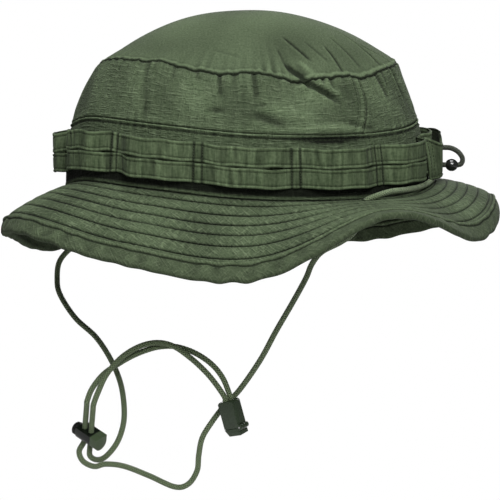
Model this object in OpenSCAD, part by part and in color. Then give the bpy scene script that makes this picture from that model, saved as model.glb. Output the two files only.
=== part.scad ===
// Boonie hat: soft oval crown, quilted brim, branch loops, chin cord with a cord lock and a cord end.
// Origin at the centre of the head opening, in the plane of the seam between crown and brim.
// +Z is up, -Y is the front, +Y the back and +X the wearer's left. Millimetres.
// Angles round the crown start at +X and grow towards the back.

/* [Crown] */
// Half of the crown's outer length at the brim seam
base_half_length = 104; // [101:1:107]
// Half of the crown's outer width at the brim seam
base_half_width = 88; // [85:1:91]
// Half of the crown's length at the seam of the top panel
top_half_length = 86; // [83:1:90]
// Half of the crown's width at the seam of the top panel
top_half_width = 70; // [67:1:74]
// Height of the seam between side panels and top panel
top_seam_height = 68; // [64:1:74]
// Rise of the top panel above its seam
dome_rise = 30; // [20:1:36]
// Height of the seam between lower band and side panels
band_seam_height = 36.5; // [33:0.5:40]
// Angle of the near joint between the two side panels
panel_joint_angle = 41; // [36:1:46]
// Thickness of the crown cloth
cloth = 1; // [0.6:0.1:1.2]
// Height of the sweatband inside the crown
sweatband_height = 30; // [25:1:34]

/* [Brim] */
// Width of the brim along its surface
brim_width = 56; // [50:1:60]
// Thickness of the upper and lower brim cloth
brim_cloth = 0.6; // [0.4:0.1:0.6]
// Thickness of the stiffener between them
interlining = 0.6; // [0.4:0.1:0.6]
// Width of the bias binding over the brim's edge
binding_width = 9; // [7:0.5:11]
// Thickness of the binding
binding_cloth = 0.6; // [0.4:0.1:0.8]

/* [Branch loops] */
// Height of one loop tape
tape_height = 11; // [9:0.5:11]
// Thickness of the loop tape
tape_thickness = 1.2; // [0.8:0.1:1.4]
// Bottom edge of the lower tape
lower_tape_base = 7; // [6.5:0.5:7]
// Bottom edge of the upper tape
upper_tape_base = 18.5; // [18.5:0.5:19]
// Clear space between crown and tape in the middle of a loop
loop_gap = 6.6; // [6:0.1:7.5]
// Distance between the two stitch bars that end each loop
bar_spacing = 4.6; // [3.5:0.1:5]

/* [Rear strap] */
// Clear space between crown and rear strap
rear_gap = 6.4; // [6:0.1:8]
// Thickness of the rear strap
rear_thickness = 1.4; // [1:0.1:1.6]
// Diameter of the elastic adjusting cord
elastic_d = 2.6; // [2.4:0.1:2.6]
// Diameter of the bead on the elastic cord
bead_d = 7.4; // [6.5:0.1:7.6]

/* [Chin cord] */
// Diameter of the chin cord
cord_d = 3.3; // [3:0.1:3.4]
// Angle of the slot that takes the cord through the brim
slot_angle = 38; // [38:1:38]
// Diameter of the slot
slot_d = 4.6; // [4.4:0.1:5]

/* [Cord lock] */
// Outer diameter of the barrel
barrel_d = 9; // [8.6:0.1:9.4]
// Height of the barrel's flat top over its middle line
flat_top = 4.3; // [4:0.1:4.5]
// Diameter of the plunger
plunger_d = 6.6; // [6.2:0.1:6.8]
// Diameter of the plunger's head
head_d = 8; // [7.4:0.1:8.6]
// Diameter of each cord hole
cord_hole_d = 4; // [3.9:0.1:4]
// Distance between the two cord holes
hole_spacing = 5; // [4.8:0.1:5.1]
// Travel of the plunger
plunger_travel = 1.9; // [1.5:0.1:1.9]

/* [Cord end] */
// Width of the cord end
end_w = 10; // [10:0.1:10.6]
// Depth of the cord end
end_t = 8.4; // [8:0.1:9]
// Length of the body above the lid
end_body = 16; // [15.5:0.1:16]
// Thickness of the lid
lid_t = 4.4; // [4:0.1:4.8]
// Wall thickness
end_wall = 1.2; // [1:0.1:1.4]

/* [Hidden] */

// Shape of the hat, every 30 degrees: how far the seam is lifted, how steeply the brim falls at
// the seam, where it bends and at its edge, and how much narrower than its full width it is
seam_lift = [0, -2, -2, 0, 0, 0, 0, 3, -2.5, -3.5, 5, 4];
root_slope = [36, 2, 4, -4, 14, 46, 50, 36, 46, 20, 14, 30];
bend_slope = [46, 0.6, 30, 24, 50, 66, 58, 40, 55, 36, 32, 40];
edge_slope = [50, 0, 60, 95, 74, 74, 64, 50, 80, 132, 50, 44];
narrowed = [0, 0, 2, 8.5, 3, 0, 0, 0, 0, 5, 3, 0];
bend_at = 5 / 7;                  // where the brim bends, as a fraction of its width
wall_power = 2.6;    // how late the crown wall leans in
dome_power = 1.9;    // how round the top panel is
around = 40;         // stations round the crown and brim
brim_steps = 7;      // stations across the brim
stiffener_at = 0.035; // where the stiffener starts, as a fraction of the brim's width
ply_gap = 0.2;       // air between two layers of cloth
binding_gap = 0.3;   // air between the binding and the brim
seam_gap = 0.3;      // air between two pieces at a seam
stiffener_gap = 0.4; // degrees between the halves of the brim's stiffener

loops = 12;          // sections of loop tape round the crown
rear_angle = 90;     // middle of the rear strap
tape_steps = 12;     // stations along one loop
flat_half = 2.2;     // half of the flat stretch at a loop's end, in degrees
rise_angle = 5;      // stretch in which the tape leaves the crown, in degrees
tape_lie = 0.25;     // space under the tape where it is sewn down
bar_size = [0.5, 1.1];  // thickness and width of a stitch bar
bar_lie = 0.12;      // space under a stitch bar
bar_end = 0.6;       // distance of a stitch bar from the tape's edges

rear_half_angle = 13;  // half of the rear strap's stretch round the crown
rear_base = 4.6;     // lower edge of the rear strap
rear_top = 28;       // upper edge where it is sewn down
rear_dip = 5;        // how far its upper edge dips in the middle
elastic_low = 9.4;   // height of the lower hole for the elastic cord
elastic_high = 19.4;
bead_at = [0, 117.6, elastic_low];
// Elastic cord: out of the upper hole, round, and back through the bead to the lower hole
elastic_route = [[0, 106, elastic_high], [0, 112, elastic_high], [0, 117, 19.1], [0, 121.2, 16.9],
    [0, 123.7, 13.4], [0, 123.4, 10.5], [0, 121.6, elastic_low], [0, 117, elastic_low],
    [0, 112, elastic_low], [0, 106, elastic_low]];

slot_out = 4.2;      // distance of the cord slot from the crown
cord_lie = 2.1;      // distance of the cord's middle from the crown
cord_height = 2.6;   // height of the cord's middle over the seam
cord_sides = 8;
slot_lean = 25;      // lean of the slots, towards the front as they go down
slot_top = 2;        // where the back run meets a slot's line, over the seam
slot_foot = -5.4;    // where a strand starts, along the slot's line

// Left strand: slot, under the brim, round the bottom turn, through the lock, over the arch
left_route = [
    [72.6, 61.8, -13], [69.6, 59.2, -20.5], [62, 52, -27], [54, 42, -33.5],
    [49.5, 36.5, -41], [46, 33, -50], [40, 25.5, -65], [33, 16.5, -82], [26, 7.5, -100],
    [15.6, -4.2, -119], [10.6, -13.2, -129.5], [9, -20.5, -139.5], [8, -26, -149], [8.5, -28, -159],
    [9, -29, -168], [10.5, -34, -175.5], [11.5, -42, -177], [13, -57, -170], [15.5, -71, -164],
    [19, -81.5, -162], [19, -88, -163.4], [16, -94.6, -161], [14.2, -97, -155.6]];
// Right strand: slot, along under the brim to the front, and down to the inner turn
right_route = [
    [-72.8, 61.6, -11.5], [-72.6, 56, -20], [-71, 32, -29], [-69.5, 6, -33],
    [-68, -22, -34.5], [-66, -50, -34.5], [-63, -75, -35.5], [-60.5, -92, -39.5], [-59, -104, -46.5],
    [-57, -111.5, -54.5], [-53, -113, -64], [-46, -111, -73], [-36, -101.5, -85.5], [-25, -89, -95],
    [-14, -80, -106], [-4, -74, -117.5], [3, -71.5, -129], [8, -71.5, -140], [12, -75, -150.5],
    [13.2, -81.5, -158.6], [15.4, -86.6, -160.2], [17.2, -90.6, -157.4]];
// Both strands from the lock over the arch to the cord end, which cross twice on the way
left_tail = [[26.5, -88.6, -116.4], [23.4, -82.2, -108.6], [21, -74, -103.2], [19.4, -66, -98.8],
    [18.4, -58, -95.6], [18, -50, -93.6], [17.8, -40.7, -93.6], [17.8, -30, -97.2],
    [18, -20.5, -103.6], [18.6, -14, -111.6]];
right_tail = [[31.2, -85.4, -118.6], [28.6, -80.2, -107.8], [25.8, -71.6, -98.4],
    [24, -61.4, -92.4], [22.8, -51.4, -90.4], [22.2, -42, -92.6], [22, -32.6, -99.2],
    [21.8, -24.6, -106.6], [21.2, -18.6, -113.8]];

lock_place = [20, -91.2, -145];   // middle of the cord lock's barrel
lock_turn = [-23.3, 17.4, -44.2]; // turn of the lock about X, Y and Z
hole_middle = -0.7;               // middle of the two cord holes along the barrel
lock_below = 7;                   // straight cord below the lock's middle
lock_above = 22;                  // straight cord above it
barrel_mouth = -6.4;
barrel_end = 10;
bore_end = 8.8;
head_len = 2;
head_gap = 2;
fit = 0.08;                       // running clearance of plunger and bead

end_place = [20, -10.8, -124.5];  // middle of the cord end's upper face
end_turn = [15, -32];             // turn of the cord end: about X, and round its own middle line
entry = [1.3, 1.05];               // cord holes off the middle: in depth and in width
entry_depth = 10.2;               // how far the strands reach into the cord end
lid_cut = [3.6, 2.2];             // slanted corner of the lid: height and width
hinge_at = [5, -16];              // hinge axis: across and along the cord end
knuckle_d = 3.4;
knuckle_w = 3;
pin_d = 1.2;
knot_at = [0, -0.8, -13];
knot_d = 5.4;

function unit(v) = v / norm(v);
function clamp01(x) = min(1, max(0, x));
function smooth(x) = let(c = clamp01(x)) c * c * (3 - 2 * c);

// Catmull-Rom value between p1 and p2
function crom(p0, p1, p2, p3, f) =
    p1 + 0.5 * f * (p2 - p0 + f * (2 * p0 - 5 * p1 + 4 * p2 - p3 + f * (3 * (p1 - p2) + p3 - p0)));
function mix(a, b, f) = a + (b - a) * f;
// Value of a list given at equal steps round the hat
function periodic(v, t) =
    let(n = len(v), u = (t + 360) % 360 / (360 / n), i = floor(u))
    crom(v[(i + n - 1) % n], v[i % n], v[(i + 1) % n], v[(i + 2) % n], u - i);
// Smooth line through hand-set points, n parts to each stretch
function spline(p, n) =
    let(last = len(p) - 1)
    concat([for (i = [0:last - 1]) for (k = [0:n - 1])
        crom(p[max(0, i - 1)], p[i], p[i + 1], p[min(last, i + 2)], k / n)], [p[last]]);

function lift(t) = periodic(seam_lift, t);
function outward(t) = unit([cos(t) / base_half_width, sin(t) / base_half_length, 0]);
// Point off the crown wall's outer face at an angle and a height over the seam
function wall(t, z, off = 0) =
    let(k = pow(clamp01(z / top_seam_height), wall_power),
        a = base_half_length + (top_half_length - base_half_length) * k,
        b = base_half_width + (top_half_width - base_half_width) * k)
    [b * cos(t), a * sin(t), z + lift(t)] + off * outward(t);
function dome(t, r, drop = 0) =
    [top_half_width * r * cos(t), top_half_length * r * sin(t),
        top_seam_height + seam_gap + dome_rise * (1 - pow(r, dome_power)) + lift(t) * pow(r, 4) - drop];
// The brim in section is two arcs, which meet where it bends
function slope(t, u) =
    let(a = periodic(root_slope, t), b = periodic(bend_slope, t), c = periodic(edge_slope, t))
    u < bend_at ? a + (b - a) * u / bend_at : b + (c - b) * (u - bend_at) / (1 - bend_at);
// Reach and drop of an arc of a length that turns from one slope to another
function arc_run(a, b, length) =
    let(half = max(0.01, abs(b - a) / 2), chord = length * sin(half) / (half * PI / 180))
    [chord * cos((a + b) / 2), -chord * sin((a + b) / 2)];
function brim_run(t, u) =
    let(width = brim_width - periodic(narrowed, t), bend = slope(t, bend_at))
    u < bend_at ? arc_run(slope(t, 0), slope(t, u), width * u)
        : arc_run(slope(t, 0), bend, width * bend_at) + arc_run(bend, slope(t, u), width * (u - bend_at));
// Point of the brim's upper face, or of a face that lies deep below it
function brim(t, u, deep = 0) =
    let(r = brim_run(t, u), s = slope(t, u), o = outward(t))
    wall(t, 0) + o * (r[0] - deep * sin(s)) + [0, 0, r[1] - deep * cos(s)];

// Faces between rows of m points; wrap joins the last row to the first
function quad(a, b, c, d) = [[a, b, c], [a, c, d]];
function grid_faces(rows, m, wrap, first = 0, flip = false) =
    [for (i = [0:rows - (wrap ? 1 : 2)]) for (j = [0:m - 2])
        let(a = first + i * m + j, b = first + (i + 1) % rows * m + j)
        each flip ? quad(a, b, b + 1, a + 1) : quad(a, a + 1, b + 1, b)];
// Closed solid between two grids of the same size, each a list of rows
module slab(outer, inner, wrap) {
    rows = len(outer);
    m = len(outer[0]);
    n = rows * m;
    side = [for (i = [0:rows - (wrap ? 1 : 2)])
        let(a = i * m, b = (i + 1) % rows * m)
        each concat(quad(a, b, b + n, a + n), quad(b + m - 1, a + m - 1, a + m - 1 + n, b + m - 1 + n))];
    ends = wrap ? [] : [for (j = [0:m - 2]) let(e = (rows - 1) * m + j)
        each concat(quad(j + 1, j, j + n, j + 1 + n), quad(e, e + 1, e + 1 + n, e + n))];
    polyhedron([each for (row = outer) row, each for (row = inner) row],
        concat(grid_faces(rows, m, wrap), grid_faces(rows, m, wrap, n, true), side, ends), convexity = 6);
}
// Closed ring whose sections are closed outlines of the same size; the sides of the outline
// listed in turned are split along their other diagonal
module ring(sections, turned = []) {
    n = len(sections);
    m = len(sections[0]);
    polyhedron([each for (s = sections) s], [for (i = [0:n - 1]) for (j = [0:m - 1])
        let(a = i * m + j, b = i * m + (j + 1) % m, c = (i + 1) % n * m)
        each search(j, turned)
            ? quad(b, c + (j + 1) % m, c + j, a)
            : quad(a, b, c + (j + 1) % m, c + j)], convexity = 6);
}
// Round tube along points; ref is a direction that the tube never takes
module tube(p, d, sides, ref) {
    n = len(p);
    rings = [for (i = [0:n - 1])
        let(t = unit(p[min(n - 1, i + 1)] - p[max(0, i - 1)]), s = unit(cross(t, ref)), o = cross(s, t))
        each [for (k = [0:sides - 1]) p[i] + d / 2 * (cos(360 * k / sides) * s + sin(360 * k / sides) * o)]];
    walls = [for (i = [0:n - 2]) for (k = [0:sides - 1])
        let(a = i * sides + k, b = i * sides + (k + 1) % sides)
        each quad(a, a + sides, b + sides, b)];
    polyhedron(rings, concat(walls, [[for (k = [0:sides - 1]) k]],
        [[for (k = [sides - 1:-1:0]) (n - 1) * sides + k]]), convexity = 6);
}

// Part of the crown wall between two heights and two angles
module wall_band(z0, z1, t0, t1, stations, rows, off, thick, wrap) {
    ts = [for (i = [0:stations - 1]) t0 + (t1 - t0) * i / (wrap ? stations : stations - 1)];
    zs = [for (j = [0:rows]) z0 + (z1 - z0) * j / rows];
    slab([for (t = ts) [for (z = zs) wall(t, z, off)]],
        [for (t = ts) [for (z = zs) wall(t, z, off - thick)]], wrap);
}
module crown_top() {
    rs = [for (j = [5:-1:1]) j / 5];
    n = around;
    m = len(rs);
    outer = [for (i = [0:n - 1]) for (r = rs) dome(360 * i / n, r)];
    inner = [for (i = [0:n - 1]) for (r = rs)
        let(p = dome(360 * i / n, r, cloth * (1 - pow(r, 6)))) [p[0] * 0.985, p[1] * 0.985, p[2]]];
    rim = [for (i = [0:n - 1]) let(b = (i + 1) % n) each quad(i * m, b * m, b * m + n * m, i * m + n * m)];
    caps = [for (i = [0:n - 1]) let(a = i * m + m - 1, b = (i + 1) % n * m + m - 1)
        each [[a, 2 * n * m, b], [b + n * m, 2 * n * m + 1, a + n * m]]];
    color("darkolivegreen")
        polyhedron(concat(outer, inner, [dome(0, 0), dome(0, 0, cloth)]),
            concat(grid_faces(n, m, true), grid_faces(n, m, true, n * m, true), rim, caps), convexity = 4);
}
module side_panel(t0, t1, stations) {
    color("darkolivegreen")
        wall_band(band_seam_height + seam_gap, top_seam_height - seam_gap, t0, t1, stations, 4, 0, cloth, false);
}
module crown_side_front() side_panel(180 - panel_joint_angle + 0.2, 360 + panel_joint_angle - 0.2, 32);
module crown_side_back() side_panel(panel_joint_angle + 0.2, 180 - panel_joint_angle - 0.2, 13);
module crown_lower_band() {
    color("darkolivegreen") wall_band(seam_gap, band_seam_height, 0, 360, around, 3, 0, cloth, true);
}
module sweatband() {
    color("olive")
        wall_band(-2, sweatband_height, 0, 360, around, 3, -cloth - ply_gap, cloth, true);
}

// Point on the middle line of a slot, which leans back as it goes up
function slot_point(side, along) =
    wall(side > 0 ? slot_angle : 180 - slot_angle, 0, slot_out)
        + along * [0, sin(slot_lean), cos(slot_lean)];
module slot_cutter(side) {
    at = wall(side > 0 ? slot_angle : 180 - slot_angle, 0, slot_out);
    translate(at) rotate([-slot_lean, 0, 0]) cylinder(h = 16, d = slot_d, center = true, $fn = 32);
}
// One layer of the brim, from its upper face at depth deep, between two angles
module brim_layer(deep, thick, start, t0 = 0, t1 = 360) {
    us = [each start < stiffener_at ? [start] : [], stiffener_at,
        each [for (k = [1:brim_steps - 1]) k / brim_steps], 0.985];
    whole = t1 - t0 == 360;
    ts = [for (i = [0:around - (whole ? 1 : around / 2)]) whole ? 360 * i / around
        : max(t0, min(t1, round(t0) + 360 * i / around))];
    difference() {
        slab([for (t = ts) [for (u = us) brim(t, u, deep + thick)]],
            [for (t = ts) [for (u = us) brim(t, u, deep)]], whole);
        slot_cutter(1);
        slot_cutter(-1);
    }
}
module brim_upper() color("darkolivegreen") brim_layer(0, brim_cloth, 0.005);
// Half of the stiffener, whose halves meet at the sides of the hat
module interlining_half(t0) {
    gap = stiffener_gap / 2;
    color("dimgray") brim_layer(brim_cloth + ply_gap, interlining, stiffener_at, t0 + gap, t0 + 180 - gap);
}
module brim_interlining_front() interlining_half(180);
module brim_interlining_back() interlining_half(0);
module brim_lower() {
    color("darkolivegreen") brim_layer(brim_cloth + interlining + 2 * ply_gap, brim_cloth, 0.05);
}
module brim_binding() {
    start = 1 - binding_width / brim_width;
    full = 2 * brim_cloth + interlining + 2 * ply_gap;
    top = -binding_gap;
    out = top - binding_cloth;
    last_step = 1 - 1 / brim_steps;
    color("darkolivegreen")
        ring([for (i = [0:around - 1]) let(t = 360 * i / around)
            [brim(t, start, top), brim(t, start, out), brim(t, 0.93, out), brim(t, 1, out),
                brim(t, 1.012, full / 2), brim(t, 1, full - out), brim(t, 0.93, full - out),
                brim(t, start, full - out), brim(t, start, full - top), brim(t, last_step, full - top),
                brim(t, 0.985, full - top), brim(t, 0.998, full - top), brim(t, 0.998, top),
                brim(t, 0.985, top), brim(t, last_step, top)]], [12, 13, 14]);
}

// 0 where a loop is sewn down, 1 where it stands free
function freedom(t) =
    let(section = 360 / loops, from_end = abs((t / section + 1) % 1 - 0.5) * section)
    smooth((from_end - flat_half) / rise_angle);
// Point of a strap's face: on the leaning wall where it is sewn, upright where it stands free
function strap_point(t, z, gap, lie, out = 0) =
    mix(wall(t, z, lie + out), wall(t, 0, gap + out) + [0, 0, z], freedom(t));
function in_rear(t) = abs((t - rear_angle + 540) % 360 - 180) < 180 / loops;
module loop_tape(z0) {
    n = loops * tape_steps;
    color("olive")
        ring([for (i = [0:n - 1])
            let(t = 360 * i / n, z1 = z0 + tape_height, out = tape_thickness)
            in_rear(t)
                ? [for (q = [[z0, 0], [z1, 0], [z1, out], [z0, out]]) wall(t, q[0], tape_lie + q[1])]
                : [for (q = [[z0, 0], [z1, 0], [z1, out], [z0, out]])
                    strap_point(t, q[0], loop_gap, tape_lie, q[1])]]);
}
module upper_loop_tape() loop_tape(upper_tape_base);
module lower_loop_tape() loop_tape(lower_tape_base);
// Two bars of close stitches at each end of a loop, one pair on each tape
module loop_bartacks() {
    section = 360 / loops;
    color("darkolivegreen")
        for (k = [0:loops - 1], z0 = [lower_tape_base, upper_tape_base], side = [-1, 1]) {
            t = section * (k + 0.5);
            o = outward(t);
            foot = wall(t, z0, tape_lie + tape_thickness + bar_lie);
            lean = foot - wall(t, z0 + tape_height, tape_lie + tape_thickness + bar_lie);
            translate(foot) rotate([0, 0, atan2(o[1], o[0])])
                rotate([0, -atan2(norm([lean[0], lean[1]]), tape_height), 0])
                    translate([0, side * bar_spacing / 2 - bar_size[1] / 2, bar_end])
                        cube([bar_size[0], bar_size[1], tape_height - 2 * bar_end]);
        }
}

// Height of the rear strap's edge: its upper edge dips where the strap stands free
function rear_edge(t, f) = mix(rear_base, rear_top - rear_dip * freedom(t), f);
module rear_strap() {
    ts = [for (i = [0:16]) rear_angle - rear_half_angle * (1 - i / 8)];
    rows = [0, 0.5, 1];
    lie = tape_lie + tape_thickness + bar_lie + bar_size[0] + 0.1;
    color("olive") difference() {
        slab([for (t = ts) [for (f = rows)
                strap_point(t, rear_edge(t, f), rear_gap, lie, rear_thickness)]],
            [for (t = ts) [for (f = rows) strap_point(t, rear_edge(t, f), rear_gap, lie)]], false);
        for (z = [elastic_low, elastic_high])
            translate([0, base_half_length, z]) rotate([-90, 0, 0])
                cylinder(h = 20, d = elastic_d + 0.4, $fn = 24);
    }
}
module rear_elastic_cord() {
    color("darkolivegreen") tube(spline(elastic_route, 2), elastic_d, cord_sides, [1, 0, 0]);
}
module rear_bead() {
    color("black") translate(bead_at) rotate([90, 0, 0]) difference() {
        sphere(d = bead_d, $fn = 48);
        cylinder(h = bead_d + 2, d = elastic_d + 2 * fit, center = true, $fn = 32);
    }
}

// Cord that lies round the back of the crown, and goes down through both slots
module chin_cord_back_run() {
    middle = [for (t = [46:8:134]) let(away = smooth((abs(t - rear_angle) - 16) / 24))
        wall(t, cord_height + 0.6 * away, cord_lie + 2.4 * away)];
    left = [for (v = [slot_foot + 0.2, 0, slot_top]) slot_point(1, v)];
    right = [for (v = [slot_top, 0, slot_foot + 0.2]) slot_point(-1, v)];
    color("darkolivegreen") tube(concat(left, middle, right), cord_d, cord_sides, [0, 1, 0]);
}
// A point turned about X, then Y, then Z
function turned(p, r) =
    let(a = [p[0], p[1] * cos(r[0]) - p[2] * sin(r[0]), p[1] * sin(r[0]) + p[2] * cos(r[0])],
        b = [a[0] * cos(r[1]) + a[2] * sin(r[1]), a[1], a[2] * cos(r[1]) - a[0] * sin(r[1])])
    [b[0] * cos(r[2]) - b[1] * sin(r[2]), b[0] * sin(r[2]) + b[1] * cos(r[2]), b[2]];
function lock_point(across, along) = lock_place + turned([0, across, along], lock_turn);
function end_point(depth, across, along) =
    end_place + turned(turned([depth, across, along], [0, 0, end_turn[1]]), [end_turn[0], 0, 0]);
// A strand: its hanging route, the straight stretch in the lock, the arch, and the cord end
module strand(route, side, tail) {
    across = hole_middle + side * hole_spacing / 2;
    start = [for (v = [slot_foot, slot_foot - 2]) slot_point(-side, v)];
    straight = [for (v = [-lock_below, lock_above]) lock_point(across, v)];
    inside = [for (v = [3, 0, -entry_depth]) end_point(side * entry[0], -side * entry[1], v)];
    color("darkolivegreen")
        tube(concat(start, route, straight, tail, inside), cord_d, cord_sides, [1, 0, 0]);
}
module chin_cord_left() strand(left_route, -1, left_tail);
module chin_cord_right() strand(right_route, 1, right_tail);

module in_lock() translate(lock_place) rotate(lock_turn) children();
// Cylinder along the barrel between two places
module along_barrel(y0, y1, d) translate([0, y0, 0]) rotate([-90, 0, 0]) cylinder(h = y1 - y0, d = d, $fn = 64);
module cord_holes(d) {
    for (side = [-1, 1])
        translate([0, hole_middle + side * hole_spacing / 2, 0])
            cylinder(h = 2 * barrel_d, d = d, center = true, $fn = 32);
}
module cord_lock_barrel() {
    color("darkslategray") in_lock() difference() {
        union() {
            along_barrel(barrel_mouth, barrel_end, barrel_d);
            translate([-barrel_d / 2, barrel_mouth, 0]) cube([barrel_d, barrel_end - barrel_mouth, flat_top]);
        }
        along_barrel(barrel_mouth - 1, bore_end, plunger_d + 2 * fit);
        cord_holes(cord_hole_d);
    }
}
module cord_lock_plunger() {
    head_start = barrel_mouth - head_gap - head_len;
    window_start = hole_middle - hole_spacing / 2 - cord_d / 2 - plunger_travel - 0.15;
    window_end = hole_middle + hole_spacing / 2 + cord_d / 2 + 0.15;
    color("black") in_lock() difference() {
        union() {
            along_barrel(head_start + 0.8, head_start + head_len, head_d);
            along_barrel(head_start, head_start + 0.8, head_d - 1.6);
            along_barrel(head_start + head_len, bore_end - plunger_travel - 2.4, plunger_d);
        }
        translate([-cord_d / 2 - 0.2, window_start, -plunger_d])
            cube([cord_d + 0.4, window_end - window_start, 2 * plunger_d]);
    }
}
module cord_lock_spring() {
    turns = 3.5;
    wire = 0.5;
    coil_r = 2.3;
    steps = 42;
    rise = 1.7;
    turn = [for (i = [0:steps]) let(a = 360 * turns * i / steps)
        [coil_r * cos(a), bore_end - 0.1 - wire / 2 - rise * i / steps, coil_r * sin(a)]];
    color("silver") in_lock() tube(turn, wire, 6, [0, 1, 0]);
}

module in_end() {
    translate(end_place) rotate([end_turn[0], 0, 0]) rotate([0, 0, end_turn[1]]) children();
}
// Prism with the outline given in width and height, centred in depth
module end_prism(outline, depth) {
    rotate([90, 0, 90]) linear_extrude(height = depth, center = true) polygon(outline);
}
module hinge_barrel(d, w, x = 0) {
    translate([x, hinge_at[0], hinge_at[1]]) rotate([0, 90, 0]) cylinder(h = w, d = d, center = true, $fn = 40);
}
module cord_end_body() {
    half = end_w / 2;
    inner = half - end_wall;
    ears = (end_t - knuckle_w) / 2 - 0.2;
    color("darkolivegreen") in_end() difference() {
        union() {
            end_prism([[-half, -end_body], [half, -end_body], [half, -1], [half - 1, 0],
                [1 - half, 0], [-half, -1]], end_t);
            for (side = [-1, 1]) hinge_barrel(knuckle_d, ears, side * (end_t - ears) / 2);
        }
        translate([-end_t / 2 + end_wall, -inner, -end_body - 1])
            cube([end_t - 2 * end_wall, 2 * inner - 1, end_body - 2]);
        for (side = [-1, 1])
            translate([side * entry[0], -side * entry[1], -6])
                cylinder(h = 8, d = cord_d + 0.3, $fn = 32);
        hinge_barrel(knuckle_d + 0.6, knuckle_w + 0.4);
        hinge_barrel(pin_d, 2 * end_t);
    }
}
module cord_end_lid() {
    half = end_w / 2;
    top = -end_body - seam_gap;
    low = -end_body - lid_t;
    ears = (end_t - knuckle_w) / 2 + 0.2;
    color("darkolivegreen") in_end() difference() {
        union() {
            end_prism([[-half, top], [-half, low + lid_cut[0]], [lid_cut[1] - half, low],
                [half, low], [half, top]], end_t);
            hinge_barrel(knuckle_d, knuckle_w);
        }
        for (side = [-1, 1]) hinge_barrel(knuckle_d + 0.6, ears + 0.4, side * (end_t - ears) / 2);
        hinge_barrel(pin_d + 2 * fit, 2 * end_t);
    }
}
module cord_end_hinge_pin() {
    color("silver") in_end() hinge_barrel(pin_d, end_t - 0.4);
}
module cord_end_knot() {
    color("darkolivegreen") in_end() translate(knot_at) sphere(d = knot_d, $fn = 48);
}

crown_top();
crown_side_front();
crown_side_back();
crown_lower_band();
sweatband();
brim_upper();
brim_interlining_front();
brim_interlining_back();
brim_lower();
brim_binding();
upper_loop_tape();
lower_loop_tape();
loop_bartacks();
rear_strap();
rear_elastic_cord();
rear_bead();
chin_cord_back_run();
chin_cord_left();
chin_cord_right();
cord_lock_barrel();
cord_lock_plunger();
cord_lock_spring();
cord_end_body();
cord_end_lid();
cord_end_hinge_pin();
cord_end_knot();
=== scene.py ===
import math

import bmesh
import bpy
import numpy as np
from mathutils import Euler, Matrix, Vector


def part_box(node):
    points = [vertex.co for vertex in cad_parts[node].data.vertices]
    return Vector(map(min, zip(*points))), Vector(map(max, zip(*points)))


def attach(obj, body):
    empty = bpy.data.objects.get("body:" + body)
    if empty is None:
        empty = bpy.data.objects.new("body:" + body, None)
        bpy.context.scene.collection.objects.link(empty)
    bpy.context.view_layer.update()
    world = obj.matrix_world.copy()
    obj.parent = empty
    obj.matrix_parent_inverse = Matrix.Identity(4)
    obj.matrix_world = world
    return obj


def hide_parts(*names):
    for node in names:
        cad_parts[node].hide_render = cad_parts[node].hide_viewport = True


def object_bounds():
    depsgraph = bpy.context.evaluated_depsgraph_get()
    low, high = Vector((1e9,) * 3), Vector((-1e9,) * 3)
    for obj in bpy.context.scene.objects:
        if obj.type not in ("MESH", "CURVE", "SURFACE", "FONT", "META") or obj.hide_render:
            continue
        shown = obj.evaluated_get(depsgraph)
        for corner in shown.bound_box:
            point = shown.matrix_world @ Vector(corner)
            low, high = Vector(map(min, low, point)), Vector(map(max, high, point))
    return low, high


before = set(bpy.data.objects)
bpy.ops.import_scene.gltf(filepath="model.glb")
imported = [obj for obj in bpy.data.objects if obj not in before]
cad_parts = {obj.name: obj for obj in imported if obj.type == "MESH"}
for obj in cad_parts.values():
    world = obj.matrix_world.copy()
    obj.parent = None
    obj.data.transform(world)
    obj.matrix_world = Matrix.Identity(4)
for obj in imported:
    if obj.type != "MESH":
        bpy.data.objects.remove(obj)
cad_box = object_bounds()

# Lengths are in millimetres, and angles in degrees, until put_mesh() turns them into metres.
# Angles round the hat start at +X, the wearer's left, and grow towards the back, +Y.
MM = 0.001


def cad_size(node):
    """Lowest and highest corner of a CAD node, in millimetres."""
    low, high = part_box(node)
    return np.array(low) / MM, np.array(high) / MM


# ---------------- the hat's shape
BASE_HALF_WIDTH, BASE_HALF_LENGTH = cad_size("crown_lower_band")[1][:2]
TOP_HALF_WIDTH, TOP_HALF_LENGTH = cad_size("crown_top")[1][:2]
TOP_SEAM = 68.0
BAND_SEAM = 36.5
DOME_RISE = cad_size("crown_top")[1][2] - TOP_SEAM
PANEL_JOINT = 41.0
WALL_POWER = 2.6
BACK_LEAN = 1.0
DOME_POWER = 2.1
BRIM_WIDTH = 56.0
BRIM_DEPTH = 2.2
# Every 30 degrees round the hat: how far the crown's foot lies over level
SEAM_LIFT = [0, -2, -2, 0, 0, 0, 0, 3, -2.5, -3.5, 5, 4]
# How steeply the brim falls there: at the crown, where it bends and at its edge
ROOT_SLOPE = [36, 2, 4, -4, 14, 46, 50, 36, 46, 20, 14, 30]
BEND_SLOPE = [46, 0.6, 30, 24, 50, 66, 58, 40, 55, 36, 32, 40]
EDGE_SLOPE = [50, 0, 60, 95, 74, 74, 64, 50, 80, 132, 50, 44]
# How much narrower the brim is there
NARROWED = [0, 0, 2, 8.5, 3, 0, 0, 0, 0, 6.5, 3, 0]
BEND_AT = 5 / 7
# Rings of stitching on the brim, as parts of its width
STITCH_RINGS = [0.09, 0.225, 0.35, 0.475, 0.61, 0.76]
BINDING_START = 0.795
CLOTH = 0.8
# How deep the wall's cloth is tucked in at its lower seam
SEAM_TUCK = 1.3
# Way over the cloth from the top seam to the crown's middle
DOME_DEPTH = 78.0
# Keeps the places of cloth laid out flat over zero
FLAT_CORNER = 300

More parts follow.
